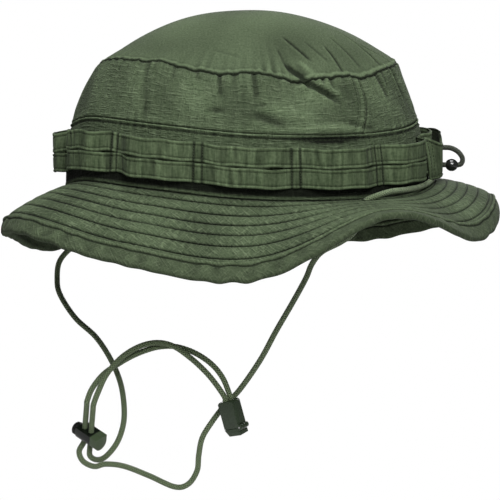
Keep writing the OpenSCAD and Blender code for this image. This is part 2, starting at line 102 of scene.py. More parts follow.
LOOPS = 12
LOWER_TAPE = 7.0
UPPER_TAPE = 18.5
TAPE_HEIGHT = 11.0
TAPE_THICK = 1.1
TAPE_GAP = 5.4
FRONT_TAPE_LIFT = 2.2
TAPE_LIE = 0.35
FLAT_HALF = 2.2
RISE_ANGLE = 7.5
BAR_SPACING = 4.6
REAR_ANGLE = 90.0
REAR_HALF_ANGLE = 13.0
REAR_FOOT, REAR_HEIGHT = 3.5, 24.5
REAR_GAP, REAR_LIE, REAR_THICK = 6.4, 2.2, 1.3

CORD_D = 3.3
ELASTIC_D = 2.6
LOCK_PLACE = np.array([20, -91.2, -145.0])
LOCK_TURN = (-23.3, 17.4, -44.2)
HOLE_MIDDLE = -0.7
HOLE_SPACING = 5.0
LOCK_BELOW, LOCK_ABOVE = 7.0, 22.0
END_PLACE = np.array([20, -10.8, -124.5])
END_TURN = (15.0, -32.0)
ENTRY = (1.3, 1.05)
ENTRY_DEPTH = 10.2
# Where the barrel turns from painted shade to painted light, green, from the lock's middle, and over what
# length
LIT_END_FROM, LIT_END_FADE = 4.5, 1.111

LEFT_ROUTE = [
    (72.6, 61.8, -13), (69.6, 59.2, -20.5), (62, 52, -27), (54, 42, -33.5), (49.5, 36.5, -41),
    (46, 33, -50), (40, 25.5, -65), (33, 16.5, -82), (26, 7.5, -100), (15.6, -4.2, -119),
    (10.6, -13.2, -129.5), (9, -20.5, -139.5), (8, -26, -149), (8.5, -28, -159), (9, -29, -168),
    (10.5, -34, -175.5), (11.5, -42, -177), (13, -57, -170), (15.5, -71, -164),
    (19, -81.5, -162), (19, -88, -163.4), (16, -94.6, -161), (14.2, -97, -155.6)]
RIGHT_ROUTE = [
    (-72.8, 61.6, -11.5), (-72.6, 56, -20), (-71, 32, -29), (-69.5, 6, -33), (-68, -22, -34.5),
    (-66, -50, -34.5), (-63, -75, -35.5), (-60.5, -92, -39.5), (-59, -104, -46.5),
    (-57, -111.5, -54.5), (-53, -113, -64), (-46, -111, -73), (-36, -101.5, -85.5),
    (-25, -89, -95), (-14, -80, -106), (-4, -74, -117.5), (3, -71.5, -129), (8, -71.5, -140),
    (12, -75, -150.5), (13.2, -81.5, -158.6), (15.4, -86.6, -160.2), (17.2, -90.6, -157.4)]
LEFT_TAIL = [
    (26.5, -88.6, -116.4), (23.4, -82.2, -108.6), (21, -74, -103.2), (19.4, -66, -98.8),
    (18.4, -58, -95.6), (18, -50, -93.6), (17.8, -40.7, -93.6), (17.8, -30, -97.2),
    (18, -20.5, -103.6), (18.6, -14, -111.6)]
RIGHT_TAIL = [
    (31.2, -85.4, -118.6), (28.6, -80.2, -107.8), (25.8, -71.6, -98.4), (24, -61.4, -92.4),
    (22.8, -51.4, -90.4), (22.2, -42, -92.6), (22, -32.6, -99.2), (21.8, -24.6, -106.6),
    (21.2, -18.6, -113.8)]
ELASTIC_ROUTE = [(0, 106, 19.4), (0, 112, 19.4), (0, 117, 19.1), (0, 121.2, 16.9),
                 (0, 123.7, 13.4), (0, 123.4, 10.5), (0, 121.6, 9.4), (0, 117, 9.4),
                 (0, 112, 9.4), (0, 106, 9.4)]
# The brim's holes for the cord: place, distance from the crown, backward lean and lower end
SLOT_ANGLE = 38.0
SLOT_OUT = 4.2
SLOT_LEAN = 25.0
SLOT_FOOT = -5.4
# The cord behind the crown: height over the crown's foot and distance from its wall
CORD_HEIGHT = 2.6
CORD_LIE = 2.1
# The top seam's waves: angle, and how far it drops there
SEAM_WAVES = [(-80, -1.4), (-63, -0.4), (-49, -0.1), (-39, -0.5), (-35.5, -1.9), (-32, -1.3), (-25.5, 0.7),
              (-21.5, 1.4), (-15.5, 1.4), (-12, 2.2), (-5.5, 1.2), (1.5, -0.9), (5.5, -0.1), (12, 1.2),
              (16, 3.3), (19, 4.4), (24, 2.6), (32.5, 1.3), (42, 0.6), (48, 3.1), (56.5, 1.0), (64.5, -0.8),
              (92, -0.3), (110, 0.8), (128, -0.6), (142, 1.6), (158, -0.3), (166, 1.8), (176, -0.5),
              (190, 1.2), (204, -0.8), (218, 1.0), (236, -0.4), (250, 0.8), (266, -0.6)]
# Creases in the crown: start and end as (angle, height on the wall), half width and depth
WALL_CREASES = [
    ((22, 68), (31, 57.5), 1.7, 2.8), ((26, 67), (33, 60), 2.2, -1.0), ((4, 45.5), (10, 42.5), 2.2, 0.9),
    ((8, 50), (20, 46), 3.0, -0.5), ((36, 42), (45, 38.5), 1.8, 0.9),
    ((-39, 67), (-34.5, 41), 2.2, 0.55), ((-27.5, 68), (-27, 63), 1.2, 0.7),
    ((-18.5, 68), (-17.8, 64), 1.1, 0.7), ((-10, 68), (-9, 57.5), 1.1, 1.0), ((2.5, 68), (3.2, 57), 1.4, 1.2),
    ((-10.6, 47.5), (-9.4, 47.5), 1.5, 1.0),
    ((4.4, 51.5), (5.6, 51.5), 1.3, 0.6), ((57.5, 67), (58.5, 56), 1.8, 1.0), ((71, 66), (73, 53), 1.8, 1.0),
    ((112, 67), (117, 48), 2.2, 1.2), ((126, 68), (127, 58), 1.5, 0.9), ((158, 67), (168, 49), 2.6, 2.0),
    ((190, 68), (191, 56), 1.6, 1.0), ((205, 60), (216, 44), 3.0, 1.2), ((232, 68), (233, 57), 1.4, 1.0)]
# Creases in the top panel: start and end as (angle, distance in from the seam)
TOP_CREASES = [
    ((22, 27), (28, 11), 1.1, 0.9), ((42, 18), (40, 3), 1.1, 0.9), ((73, 29), (65, 3), 1.3, 0.8),
    ((15, 17), (16.5, 5), 1.0, 0.45), ((18, 6), (22, 1), 1.5, 1.9), ((23.5, 8), (27, 2), 1.6, -0.7),
    ((73, 15), (77, 3), 1.3, 0.7), ((-15, 15.5), (-3, 11), 0.8, 0.3), ((54, 25), (52, 5), 1.4, 0.45),
    ((33, 22), (36, 10), 1.2, 0.4), ((110, 22), (114, 3), 2.0, 1.0), ((150, 18), (147, 2), 2.4, 1.6),
    ((196, 20), (200, 3), 1.8, 0.9), ((240, 18), (236, 3), 1.8, 0.6)]


def crom(p0, p1, p2, p3, f):
    """Catmull-Rom value between p1 and p2."""
    return p1 + 0.5 * f * (p2 - p0 + f * (2 * p0 - 5 * p1 + 4 * p2 - p3 + f * (3 * (p1 - p2) + p3 - p0)))


def periodic(values, t):
    """Smooth curve through values set at even steps round the hat."""
    v = np.array(values, float)
    n = len(v)
    u = (np.asarray(t, float) % 360) / (360 / n)
    i = np.floor(u).astype(int)
    return crom(v[(i - 1) % n], v[i % n], v[(i + 1) % n], v[(i + 2) % n], u - i)


def smooth(x):
    c = np.clip(x, 0, 1)
    return c * c * (3 - 2 * c)


def unit(v):
    return v / np.maximum(np.linalg.norm(v, axis=-1, keepdims=True), 1e-9)


def grid(a, b):
    """Two arrays that hold every pair of a value of a and a value of b."""
    return np.meshgrid(a, b, indexing="ij")


def nearest(values, at):
    return int(np.argmin(np.abs(values - at)))


def run_along(line):
    """Length along a line up to each of its points."""
    return np.concatenate([[0], np.cumsum(np.linalg.norm(np.diff(line, axis=0), axis=1))])


def outward(t):
    """Level direction off the crown at an angle."""
    t = np.radians(t)
    return unit(np.stack([np.cos(t) / BASE_HALF_WIDTH, np.sin(t) / BASE_HALF_LENGTH, 0 * t], -1))


def near(x, at, width):
    return np.exp(-(((x - at) / width) ** 2))


def wave(degrees):
    return np.sin(np.radians(degrees))


def turn_from(t, at):
    """Signed difference of two angles."""
    return (t - at + 180) % 360 - 180


WAVE_STEP = 0.25
WAVE_TABLE = np.interp(np.arange(0, 360, WAVE_STEP), *zip(*SEAM_WAVES), period=360)
WAVE_TABLE = sum(np.roll(WAVE_TABLE, k) for k in range(-4, 5)) / 9


def seam_wave(t):
    """How far the top seam drops, and how far it is pulled in, where the cloth is creased."""
    drop = np.interp(np.asarray(t, float) % 360, np.arange(0, 360, WAVE_STEP), WAVE_TABLE, period=360)
    pull = 1.6 * near(turn_from(t, 20), 0, 7) + 0.8 * near(turn_from(t, 165), 0, 9)
    small = wave(t * 41) * wave(t * 7 + 50) + 0.7 * wave(t * 67 + 20)
    fine = wave(t * 131 + 40 * wave(t * 5)) * wave(t * 23 + 10)
    return drop + 0.28 * small + 0.22 * fine, pull


def wall(t, z, off=0.0):
    """Point off the crown wall's outer face at an angle and a height over the seam."""
    t, z, off = np.broadcast_arrays(np.asarray(t, float), np.asarray(z, float), np.asarray(off, float))
    power = WALL_POWER - BACK_LEAN * near(turn_from(t, 90), 0, 50)
    k = np.clip(z / TOP_SEAM, 0, 1) ** power
    a = BASE_HALF_LENGTH + (TOP_HALF_LENGTH - BASE_HALF_LENGTH) * k
    b = BASE_HALF_WIDTH + (TOP_HALF_WIDTH - BASE_HALF_WIDTH) * k
    angle = np.radians(t)
    drop, pull = seam_wave(t)
    share = smooth((z - BAND_SEAM) / (TOP_SEAM - BAND_SEAM)) ** 1.5
    p = np.stack([b * np.cos(angle), a * np.sin(angle), z + periodic(SEAM_LIFT, t) - drop * share], -1)
    return p + (off - pull * share)[..., None] * outward(t)


def dome(t, r):
    """Point of the top panel at a part r of the way from its middle to the seam."""
    angle = np.radians(t)
    drop, pull = seam_wave(t)
    z = TOP_SEAM + DOME_RISE * (1 - r**DOME_POWER) + periodic(SEAM_LIFT, t) * r**4 - drop * r**7
    p = np.stack([TOP_HALF_WIDTH * r * np.cos(angle), TOP_HALF_LENGTH * r * np.sin(angle), z], -1)
    return p - (pull * r**9)[..., None] * outward(t)


def arc_run(start, end, length):
    """Reach and drop of an arc of a length that turns from one slope to another."""
    half = np.radians(end - start) / 2
    half = np.where(np.abs(half) < 1e-4, 1e-4, half)
    chord, mid = length * np.sin(half) / half, np.radians(start + end) / 2
    return chord * np.cos(mid), chord * np.sin(mid)


def brim(t, u, deep=0.0):
    """Point of the brim's upper face at a part u of its width, or of a face deep below it."""
    t, u = np.broadcast_arrays(np.asarray(t, float), np.asarray(u, float))
    first, bend, last = (periodic(v, t) for v in (ROOT_SLOPE, BEND_SLOPE, EDGE_SLOPE))
    width = BRIM_WIDTH - periodic(NARROWED, t)
    inner, outer = np.minimum(u, BEND_AT), np.maximum(u - BEND_AT, 0)
    turn_1 = first + (bend - first) * inner / BEND_AT
    turn_2 = bend + (last - bend) * outer / (1 - BEND_AT)
    x1, z1 = arc_run(first, turn_1, width * inner)
    x2, z2 = arc_run(bend, turn_2, width * outer)
    slope = np.radians(np.where(u > BEND_AT, turn_2, turn_1))
    p = wall(t, 0 * t) + outward(t) * (x1 + x2 - deep * np.sin(slope))[..., None]
    p[..., 2] -= z1 + z2 + deep * np.cos(slope)
    return p


def freedom(t):
    """0 where a loop is sewn down, 1 where it stands free."""
    section = 360 / LOOPS
    from_end = np.abs((t / section + 1) % 1 - 0.5) * section
    return smooth((from_end - FLAT_HALF) / RISE_ANGLE)


def strap_point(t, z, gap, lie, out=0.0):
    """Point of a strap's face: on the wall where it is sewn, upright where it stands free."""
    f = freedom(t)[..., None]
    t, z = np.broadcast_arrays(t, z)
    free = wall(t, 0 * t, gap + out)
    free[..., 2] += z
    return wall(t, z, lie + out) * (1 - f) + free * f


# ---------------- cloth relief
def ripple(x, y, seed, across, along, count=10):
    """Smooth random waves: x is an angle in degrees, y in millimetres; about 1 high.
    across is the range of waves round the hat, along the range of waves per millimetre."""
    rng = np.random.default_rng(seed)
    total = 0
    for _ in range(count):
        cycles = rng.integers(across[0], across[1] + 1)
        total = total + np.sin(np.radians(x) * cycles + y * rng.uniform(*along) * 2 * np.pi
                               + rng.uniform(0, 2 * np.pi))
    return total / math.sqrt(count / 2)


def crease(t, v, start, end, width):
    """1 along a line between two places, with a low ridge on one side of it, fading at its ends."""
    per_degree = 1.6
    x, y = turn_from(t, start[0]) * per_degree, v - start[1]
    ex, ey = (end[0] - start[0]) * per_degree, end[1] - start[1]
    length = math.hypot(ex, ey)
    along = (x * ex + y * ey) / length**2
    across = (x * ey - y * ex) / length / width
    past = np.maximum(np.abs(along - 0.5) - 0.4, 0) * length
    return (near(across, 0, 1) - 0.35 * near(across, 2.0, 1.0)) * np.exp(-((past / (2.2 * width)) ** 2))


def wall_relief(t, z):
    """How far the crown cloth stands off its plain shape."""
    patch = 0.5 + 0.5 * ripple(t, z * 0, 15, (3, 11), (0, 0), 5)
    pull = ripple(t, z, 11, (50, 120), (-0.012, 0.012)) * patch
    sag = ripple(t, z, 12, (7, 19), (-0.02, 0.02))
    fine = ripple(t, z, 13, (90, 200), (-0.10, 0.10), 14)
    upper = z > BAND_SEAM - 0.15
    to_top = np.clip(TOP_SEAM - z, 0, 99)
    to_band = np.abs(z - BAND_SEAM)
    d = 0.20 * sag * smooth(to_band / 9) * smooth(to_top / 8) * upper
    d = d + 0.30 * pull * np.exp(-to_top / 4.5) * upper
    d = d + 0.14 * pull * np.exp(-to_band / 5) + 0.05 * fine
    for start, end, width, deep in WALL_CREASES:
        d = d - deep * crease(t, z, start, end, width) * upper
    fold = near(turn_from(t, 27), 0, 11)
    d = d + 1.3 * fold * near(z, BAND_SEAM + 3, 2.2) * upper
    return d - 1.1 * fold * near(z, BAND_SEAM - 3, 2.4) * ~upper


def seam_relief(t, z):
    """Seams of the crown: turned edges, grooves under the stitches."""
    low = z < BAND_SEAM - 0.15
    d = -0.8 * near(z, TOP_SEAM, 0.8) - 0.55 * near(z, BAND_SEAM - 0.1, 0.35)
    d = d + (0.55 * near(z, BAND_SEAM - 0.9, 0.7) - 0.65 * near(z, BAND_SEAM - 2.4, 0.55)) * low
    d = d + 0.5 * near(z, 1.5, 0.7) - 0.5 * near(z, 0, 0.5)
    d = d + 0.25 * near(z, BAND_SEAM + 1.2, 1.0) * ~low
    for sign, at in ((1, PANEL_JOINT), (-1, 180 - PANEL_JOINT)):
        side = (turn_from(t, at) - bow(z) * sign) * sign * 1.6
        d = d - (0.6 * near(side, 0, 0.6) + 0.5 * near(side, -5.2, 0.5)) * ~low
        d = d + 0.3 * smooth((side + 6.4) / 0.8) * smooth(-side / 0.8) * ~low
    return d


def dome_relief(t, r):
    """How far the top panel stands off its plain shape."""
    y = (1 - r) * DOME_DEPTH
    east, north = r * np.cos(np.radians(t)) * 70, r * np.sin(np.radians(t)) * 86
    rng = np.random.default_rng(21)
    sag = 0 * t
    for _ in range(9):
        turn, long, start = rng.uniform(0, np.pi), rng.uniform(38, 80), rng.uniform(0, 2 * np.pi)
        sag = sag + np.sin((east * np.cos(turn) + north * np.sin(turn)) / long * 2 * np.pi + start)
    patch = 0.5 + 0.5 * ripple(t, y * 0, 25, (3, 11), (0, 0), 5)
    pull = ripple(t, y, 22, (45, 110), (-0.015, 0.015)) * patch
    d = 0.08 * sag * smooth((1 - r) * 5) + 0.34 * pull * np.exp(-y / 6) * smooth(y / 1.5)
    for start, end, width, deep in TOP_CREASES:
        d = d - deep * crease(t, y, start, end, width) * smooth(y / 1.0 + 0.35)
    return d - 0.75 * near(y, 0, 0.8) + 0.25 * near(y, 1.7, 0.7) - 0.2 * near(y, 3.0, 0.5)


def bow(z):
    """How far the panel joint leans towards the back at a height, in degrees."""
    f = np.clip((z - BAND_SEAM) / (TOP_SEAM - BAND_SEAM), 0, 1)
    return 6.0 * f - 0.6 + 2.0 * np.sin(np.pi * f)


def brim_relief(t, u):
    """Quilting between the stitch rings, with small puckers that cross them at a slant."""
    w = u * BRIM_WIDTH
    rings = [0.0] + STITCH_RINGS + [BINDING_START]
    d = 0 * t
    for k in range(len(rings) - 1):
        a, b = rings[k] * BRIM_WIDTH, rings[k + 1] * BRIM_WIDTH
        f = np.clip((w - a) / (b - a), 0, 1)
        inside = (w >= a) & (w < b)
        middle = 4 * f * (1 - f)
        pucker = ripple(t, w, 40 + k, (110, 230), (-0.12, 0.12), 9)
        patch = 0.6 + 0.4 * ripple(t, w, 50 + k, (9, 40), (-0.02, 0.02), 6)
        d = d + inside * (0.40 * middle**0.6 + pucker * patch * (0.05 * middle + 0.05))
    for ring in STITCH_RINGS:
        d = d - 0.80 * near(w, ring * BRIM_WIDTH, 0.42)
    long = ripple(t, w, 60, (7, 16), (-0.01, 0.01), 6)
    return (d + 0.14 * long * smooth(u * 3)) * (1 - 0.4 * near(turn_from(t, 95), 0, 35))


# ---------------- meshes
def add_object(name, data):
    obj = bpy.data.objects.new(name, data)
    bpy.context.collection.objects.link(obj)
    return obj


def ride(obj, body, nodes):
    """Puts a piece on its body, in place of its CAD nodes."""
    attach(obj, body)
    if nodes:
        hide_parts(*nodes)
    return obj


def put_mesh(name, points, faces, material, nodes=(), body="hat", uv=None, relief=None, round_trip=0):
    """A mesh piece from points in millimetres; uv and relief hold one value for each point.
    round_trip is how much the first uv grows once round the hat, where it starts again at 0."""
    mesh = bpy.data.meshes.new(name)
    points = np.asarray(points, float) * MM
    mesh.from_pydata(points.tolist(), [], [list(f) for f in faces])
    if uv is not None:
        layer = mesh.uv_layers.new(name="weave")
        index = np.empty(len(mesh.loops), int)
        mesh.loops.foreach_get("vertex_index", index)
        at = np.asarray(uv, float)[index]
        if round_trip:
            size = np.empty(len(mesh.polygons), int)
            mesh.polygons.foreach_get("loop_total", size)
            first = np.repeat(at[np.cumsum(size) - size, 0], size)
            at[:, 0] -= round_trip * np.round((at[:, 0] - first) / round_trip)
        layer.data.foreach_set("uv", at.ravel())
    if relief is not None:
        data = mesh.attributes.new("relief", "FLOAT", "POINT")
        data.data.foreach_set("value", np.asarray(relief, float).ravel())
    mesh.polygons.foreach_set("use_smooth", [True] * len(mesh.polygons))
    mesh.update()
    mesh.materials.append(material)
    return ride(add_object(name, mesh), body, nodes)


def grid_normals(p, wrap):
    """Unit normals of a grid of points, rows round the hat and columns across."""
    du = np.roll(p, -1, 0) - np.roll(p, 1, 0) if wrap else np.gradient(p, axis=0)
    return unit(np.cross(du, np.gradient(p, axis=1)))


def grid_quads(rows, cols, wrap, first=0, flip=False, across=False):
    """Faces of a grid of points, which may close on itself round the hat and across."""
    i = np.arange(rows if wrap else rows - 1)[:, None]
    j = np.arange(cols if across else cols - 1)[None, :]
    a, b, k = i * cols, (i + 1) % rows * cols, (j + 1) % cols
    q = np.stack([a + j, b + j, b + k, a + k], -1).reshape(-1, 4) + first
    return q[:, ::-1] if flip else q


def slab_faces(rows, cols, wrap, pole=False):
    """Faces of a closed cloth between two grids, numbered one after the other.
    With a pole, the first column closes on two more points instead of on an edge."""
    n = rows * cols
    i = np.arange(rows if wrap else rows - 1)
    a, b = i * cols, (i + 1) % rows * cols
    last = cols - 1
    faces = [grid_quads(rows, cols, wrap), grid_quads(rows, cols, wrap, n, True),
             np.stack([a + last, b + last, b + last + n, a + last + n], -1)]
    if pole:
        top = np.full(len(i), 2 * n)
        fans = np.concatenate([np.stack([top, b, a], -1), np.stack([top + 1, a + n, b + n], -1)])
        return np.concatenate(faces).tolist() + fans.tolist()
    faces.append(np.stack([b, a, a + n, b + n], -1))
    if not wrap:
        j = np.arange(cols - 1)
        e = (rows - 1) * cols + j
        faces += [np.stack([j, j + 1, j + 1 + n, j + n], -1), np.stack([e + 1, e, e + n, e + 1 + n], -1)]
    return np.concatenate(faces)


class Cloth:
    """A closed sheet of cloth over a plain grid: relief stands off it, the thickness goes inwards."""

    def __init__(self, name, plain, relief, uv, material, nodes=(), wrap=True, out=1, thick=CLOTH,
                 pole=False, round_trip=0, slot="hat_cloth", tone=0):
        self.normals = grid_normals(plain, wrap) * out
        self.face = plain + self.normals * relief[..., None]
        back = self.face - self.normals * thick
        layers = [self.face, back] if out > 0 else [back, self.face]
        # tone is painted shade below zero and painted light above zero, added to the relief value that sets the
        # cloth's colour; the inner face takes 0.3 less.
        shown = relief + tone
        heights = [shown, shown - 0.3] if out > 0 else [shown - 0.3, shown]
        points = [g.reshape(-1, 3) for g in layers]
        values = [h.ravel() for h in heights]
        places = [uv.reshape(-1, 2)] * 2
        if pole:
            points += [g[:, 0].mean(0)[None] for g in layers]
            values += [h[:, 0].mean()[None] for h in heights]
            places += [uv[:, 0].mean(0)[None]] * 2
        faces = slab_faces(*plain.shape[:2], wrap, pole)
        self.obj = put_mesh(name, np.concatenate(points), faces, material, nodes, uv=np.concatenate(places),
                            relief=np.concatenate(values), round_trip=round_trip)


def spline(points, step):
    """Smooth line through given points, with a point about every step."""
    p = np.array(points, float)
    out = []
    for i in range(len(p) - 1):
        a, b, c, d = p[max(0, i - 1)], p[i], p[i + 1], p[min(len(p) - 1, i + 2)]
        n = max(2, int(np.linalg.norm(c - b) / step * 1.2))
        out += [crom(a, b, c, d, k / n) for k in range(n)]
    out = np.array(out + [p[-1]])
    length = run_along(out)
    at = np.linspace(0, length[-1], max(3, int(length[-1] / step)))
    return np.stack([np.interp(at, length, out[:, k]) for k in range(3)], -1)


def line_length(p):
    return float(run_along(p)[-1])


# ---------------- materials
class Nodes:
    """Short way to build a node material."""

    def __init__(self, name, roughness, sheen=0.0, specular=0.5):
        self.material = bpy.data.materials.new(name)
        self.material.use_nodes = True
        self.tree = self.material.node_tree
        self.shader = self.tree.nodes["Principled BSDF"]
        self.shader.inputs["Roughness"].default_value = roughness
        self.shader.inputs["Specular IOR Level"].default_value = specular
        self.shader.inputs["Sheen Weight"].default_value = sheen
        if sheen:
            self.shader.inputs["Sheen Roughness"].default_value = 0.5

    def add(self, kind, **values):
        node = self.tree.nodes.new(kind)
        for key, value in values.items():
            if hasattr(node, key):
                setattr(node, key, value)
            else:
                node.inputs[key.replace("_", " ")].default_value = value
        return node

    def link(self, a, b):
        self.tree.links.new(a, b)

    def math(self, how, a, b=None, c=None):
        node = self.add("ShaderNodeMath", operation=how)
        for k, v in enumerate((a, b, c)):
            if v is None:
                continue
            if isinstance(v, (int, float)):
                node.inputs[k].default_value = v
            else:
                self.link(v, node.inputs[k])
        return node.outputs[0]

    def mix(self, factor, a, b, how="MIX"):
        node = self.add("ShaderNodeMix", data_type="RGBA", blend_type=how)
        for socket, v in ((node.inputs[0], factor), (node.inputs[6], a), (node.inputs[7], b)):
            if isinstance(v, (int, float)):
                socket.default_value = v
            elif isinstance(v, tuple):
                socket.default_value = (*v, 1)
            else:
                self.link(v, socket)
        return node.outputs[2]

    def place(self, scale=(1, 1, 1), turn=0.0):
        """The weave's own coordinates, in millimetres, scaled and turned."""
        uv = self.add("ShaderNodeUVMap", uv_map="weave")
        mapping = self.add("ShaderNodeMapping", vector_type="TEXTURE")
        mapping.inputs["Scale"].default_value = [1 / v for v in scale]
        mapping.inputs["Rotation"].default_value = (0, 0, math.radians(turn))
        self.link(uv.outputs[0], mapping.inputs[0])
        return mapping.outputs[0]

    def weave(self, scale, detail, turn=0.0):
        """Noise along and across the threads, in waves per millimetre."""
        return self.noise(self.place((*scale, 1), turn), 1.0, detail)

    def noise(self, where, scale, detail=2.0):
        node = self.add("ShaderNodeTexNoise", Scale=scale, Detail=detail)
        self.link(where, node.inputs["Vector"])
        return node.outputs[0]

    def bump(self, height, strength, distance):
        node = self.add("ShaderNodeBump", Strength=strength, Distance=distance)
        self.link(height, node.inputs["Height"])
        return node.outputs[0]

    def total(self, start, *terms):
        """A number plus values times their weights."""
        for value, weight in terms:
            start = self.math("MULTIPLY_ADD", value, weight, start)
        return start

    def spread(self, value, low, high, to_low=0.0, to_high=1.0):
        """A value's range stretched to another range, and held inside it."""
        node = self.add("ShaderNodeMapRange", From_Min=low, From_Max=high, To_Min=to_low, To_Max=to_high)
        self.link(value, node.inputs["Value"])
        return node.outputs[0]

    def finish(self, color=None, normal=None, roughness=None):
        for value, key in ((color, "Base Color"), (normal, "Normal"), (roughness, "Roughness")):
            if value is not None:
                self.link(value, self.shader.inputs[key])
        return self.material


def shaded(n, color, low, high, dark, light):
    """The colour darkened in the hollows of the relief as painted shade, and lightened on its ridges, partly
    from wear and partly as painted highlight; the relief value also carries the painted tone a cloth adds.
    """
    relief = n.add("ShaderNodeAttribute", attribute_name="relief").outputs["Fac"]
    wear_and_shade = n.spread(relief, low, high, dark, light)
    shade = n.add("ShaderNodeCombineColor")
    for k in range(3):
        n.link(wear_and_shade, shade.inputs[k])
    return n.mix(1.0, color, shade.outputs[0], "MULTIPLY")


def dashes(n, scale, turn, low, high):
    """Thin broken threads lying one way."""
    return n.spread(n.weave(scale, 1.0, turn), low, high)


def cloth_material(name, dark, light, turn=0.0, streak=1.0, cross=0.25, wear_and_shade=(0.32, 1.25), rip=0.0):
    """Ripstop cloth: light slub threads one way, finer ones across, a fine grain, ridges lightened by wear and
    painted highlight, and painted shade in the hollows.
    """
    n = Nodes(name, 0.9, sheen=0.02, specular=0.12)
    long = dashes(n, (0.13, 0.95), turn, 0.53, 0.68)
    short = dashes(n, (0.95, 0.16), turn, 0.54, 0.70)
    hollow = dashes(n, (0.16, 0.75), turn + 3, 0.46, 0.28)
    mottle = n.weave((0.09, 0.09), 5.0)
    grain = n.weave((0.85, 0.85), 4.0, turn)
    tone = n.total(-0.28, (long, 0.5 * streak), (grain, 1.0), (short, cross), (mottle, 0.25),
                   (hollow, -0.22 * streak))
    if rip:
        tone = n.total(tone, (ripstop(n, turn), rip))
    color = shaded(n, n.mix(tone, dark, light), -0.8, 0.6, *wear_and_shade)
    height = n.total(0.0, (long, streak), (grain, 1.2), (short, 3 * cross), (hollow, -0.6 * streak))
    return n.finish(color, n.bump(height, 1.0, 0.0004))


def ripstop(n, turn):
    """Thicker threads a few millimetres apart, showing here and there."""
    split = n.add("ShaderNodeSeparateXYZ")
    n.link(n.place((1, 1, 1), turn), split.inputs[0])
    wave = n.math("SINE", n.math("MULTIPLY", split.outputs[1], 2 * math.pi / RIPSTOP_PITCH))
    line = n.math("MAXIMUM", n.math("SUBTRACT", wave, 0.72), 0.0)
    where = n.spread(n.weave((0.05, 0.08), 3.0, turn), 0.42, 0.62)
    return n.math("MULTIPLY", n.math("MULTIPLY", line, 3.5), where)


def tape_material(name, dark, light, wear_and_shade=(0.35, 1.35)):
    """Folded tape: short ribs across it, with painted shade in its hollows and lighter ridges."""
    n = Nodes(name, 0.9, sheen=0.02, specular=0.12)
    rib = n.weave((0.75, 0.10), 4.0)
    slub = n.weave((0.6, 0.6), 4.0)
    mottle = n.weave((0.06, 0.06), 3.0)
    tone = n.total(-1.0, (rib, 1.5), (slub, 0.9), (mottle, 0.5))
    color = shaded(n, n.mix(tone, dark, light), -0.6, 0.6, *wear_and_shade)
    return n.finish(color, n.bump(n.total(rib, (slub, 0.6)), 0.7, 0.00025))


def cord_material(name, dark, light):
    """Braided sheath: a diamond of lighter strands."""
    n = Nodes(name, 0.62, sheen=0.1, specular=0.4)
    split = n.add("ShaderNodeSeparateXYZ")
    n.link(n.place(), split.inputs[0])
    around, along = 2 * math.pi * 6, 2 * math.pi / 1.5
    strands = [n.math("SINE", n.total(0.0, (split.outputs[0], around), (split.outputs[1], way * along)))
               for way in (1, -1)]
    braid = n.math("MAXIMUM", *strands)
    fibre = n.weave((14, 0.9), 2.0)
    color = n.mix(n.total(-0.12, (braid, 0.55), (fibre, 0.5)), dark, light)
    return n.finish(color, n.bump(n.total(braid, (fibre, 0.5)), 1.0, 0.0003))


def plastic_material(name, color, roughness):
    """Moulded plastic: fine orange-peel and faint handling marks."""
    n = Nodes(name, roughness, specular=0.5)
    coords = n.add("ShaderNodeTexCoord").outputs["Object"]
    marks = n.noise(coords, 260.0, 4.0)
    tint = n.mix(n.math("MULTIPLY", marks, 0.48), color, tuple(c * 1.7 + 0.004 for c in color))
    rough = n.total(roughness - 0.12, (marks, 0.25))
    return n.finish(tint, n.bump(n.noise(coords, 1800.0), 0.25, 0.00004), rough)


def steel_material():
    """Drawn steel wire."""
    n = Nodes("spring_steel", 0.28)
    n.shader.inputs["Metallic"].default_value = 1.0
    coords = n.add("ShaderNodeTexCoord").outputs["Object"]
    streak = n.noise(coords, 2500.0)
    return n.finish(n.mix(streak, (0.42, 0.42, 0.42), (0.62, 0.62, 0.6)), n.bump(streak, 0.2, 0.00003))


RIPSTOP_PITCH = 2.8
SHADE, GREEN = (0.033, 0.049, 0.024), (0.104, 0.138, 0.078)
# The last pair of each cloth sets how far painted shade darkens its hollows and how far its ridges lighten.
HAT_CLOTH = cloth_material("hat_cloth", SHADE, GREEN, wear_and_shade=(0.38, 1.24), rip=0.28)
# band_cloth darkens much further than hat_cloth, to carry the painted shade under the loop tapes.
BAND_CLOTH = cloth_material("band_cloth", SHADE, GREEN, wear_and_shade=(0.08, 1.40), rip=0.2)
TOP_CLOTH = cloth_material("top_cloth", (0.040, 0.058, 0.029), (0.108, 0.142, 0.082), streak=0.15, cross=0.08,
                           wear_and_shade=(0.2, 1.3))
BRIM_CLOTH = cloth_material("brim_cloth", (0.018, 0.028, 0.013), (0.088, 0.116, 0.065), turn=42.0, streak=0.9,
                            cross=0.35, wear_and_shade=(0.02, 1.42))
LINING = cloth_material("lining_cloth", (0.028, 0.040, 0.021), (0.064, 0.086, 0.048))
TAPE = tape_material("loop_tape", (0.024, 0.037, 0.017), (0.094, 0.126, 0.068), (0.16, 1.36))
THREAD = tape_material("thread", (0.014, 0.020, 0.010), (0.036, 0.050, 0.026))
CORD = cord_material("braided_cord", (0.030, 0.047, 0.020), (0.245, 0.325, 0.167))
GREEN_PLASTIC = plastic_material("green_plastic", (0.020, 0.032, 0.016), 0.40)
BLACK_PLASTIC = plastic_material("black_plastic", (0.008, 0.009, 0.008), 0.18)
STEEL = steel_material()


# ---------------- small pieces
def lathe(profile, sides):
    """Points and faces turned round Z from a list of (radius, height), closed on itself."""
    a = np.arange(sides) * 2 * np.pi / sides
    p = np.array([(r * np.cos(x), r * np.sin(x), z) for x in a for r, z in profile])
    return p, grid_quads(sides, len(profile), True, across=True)


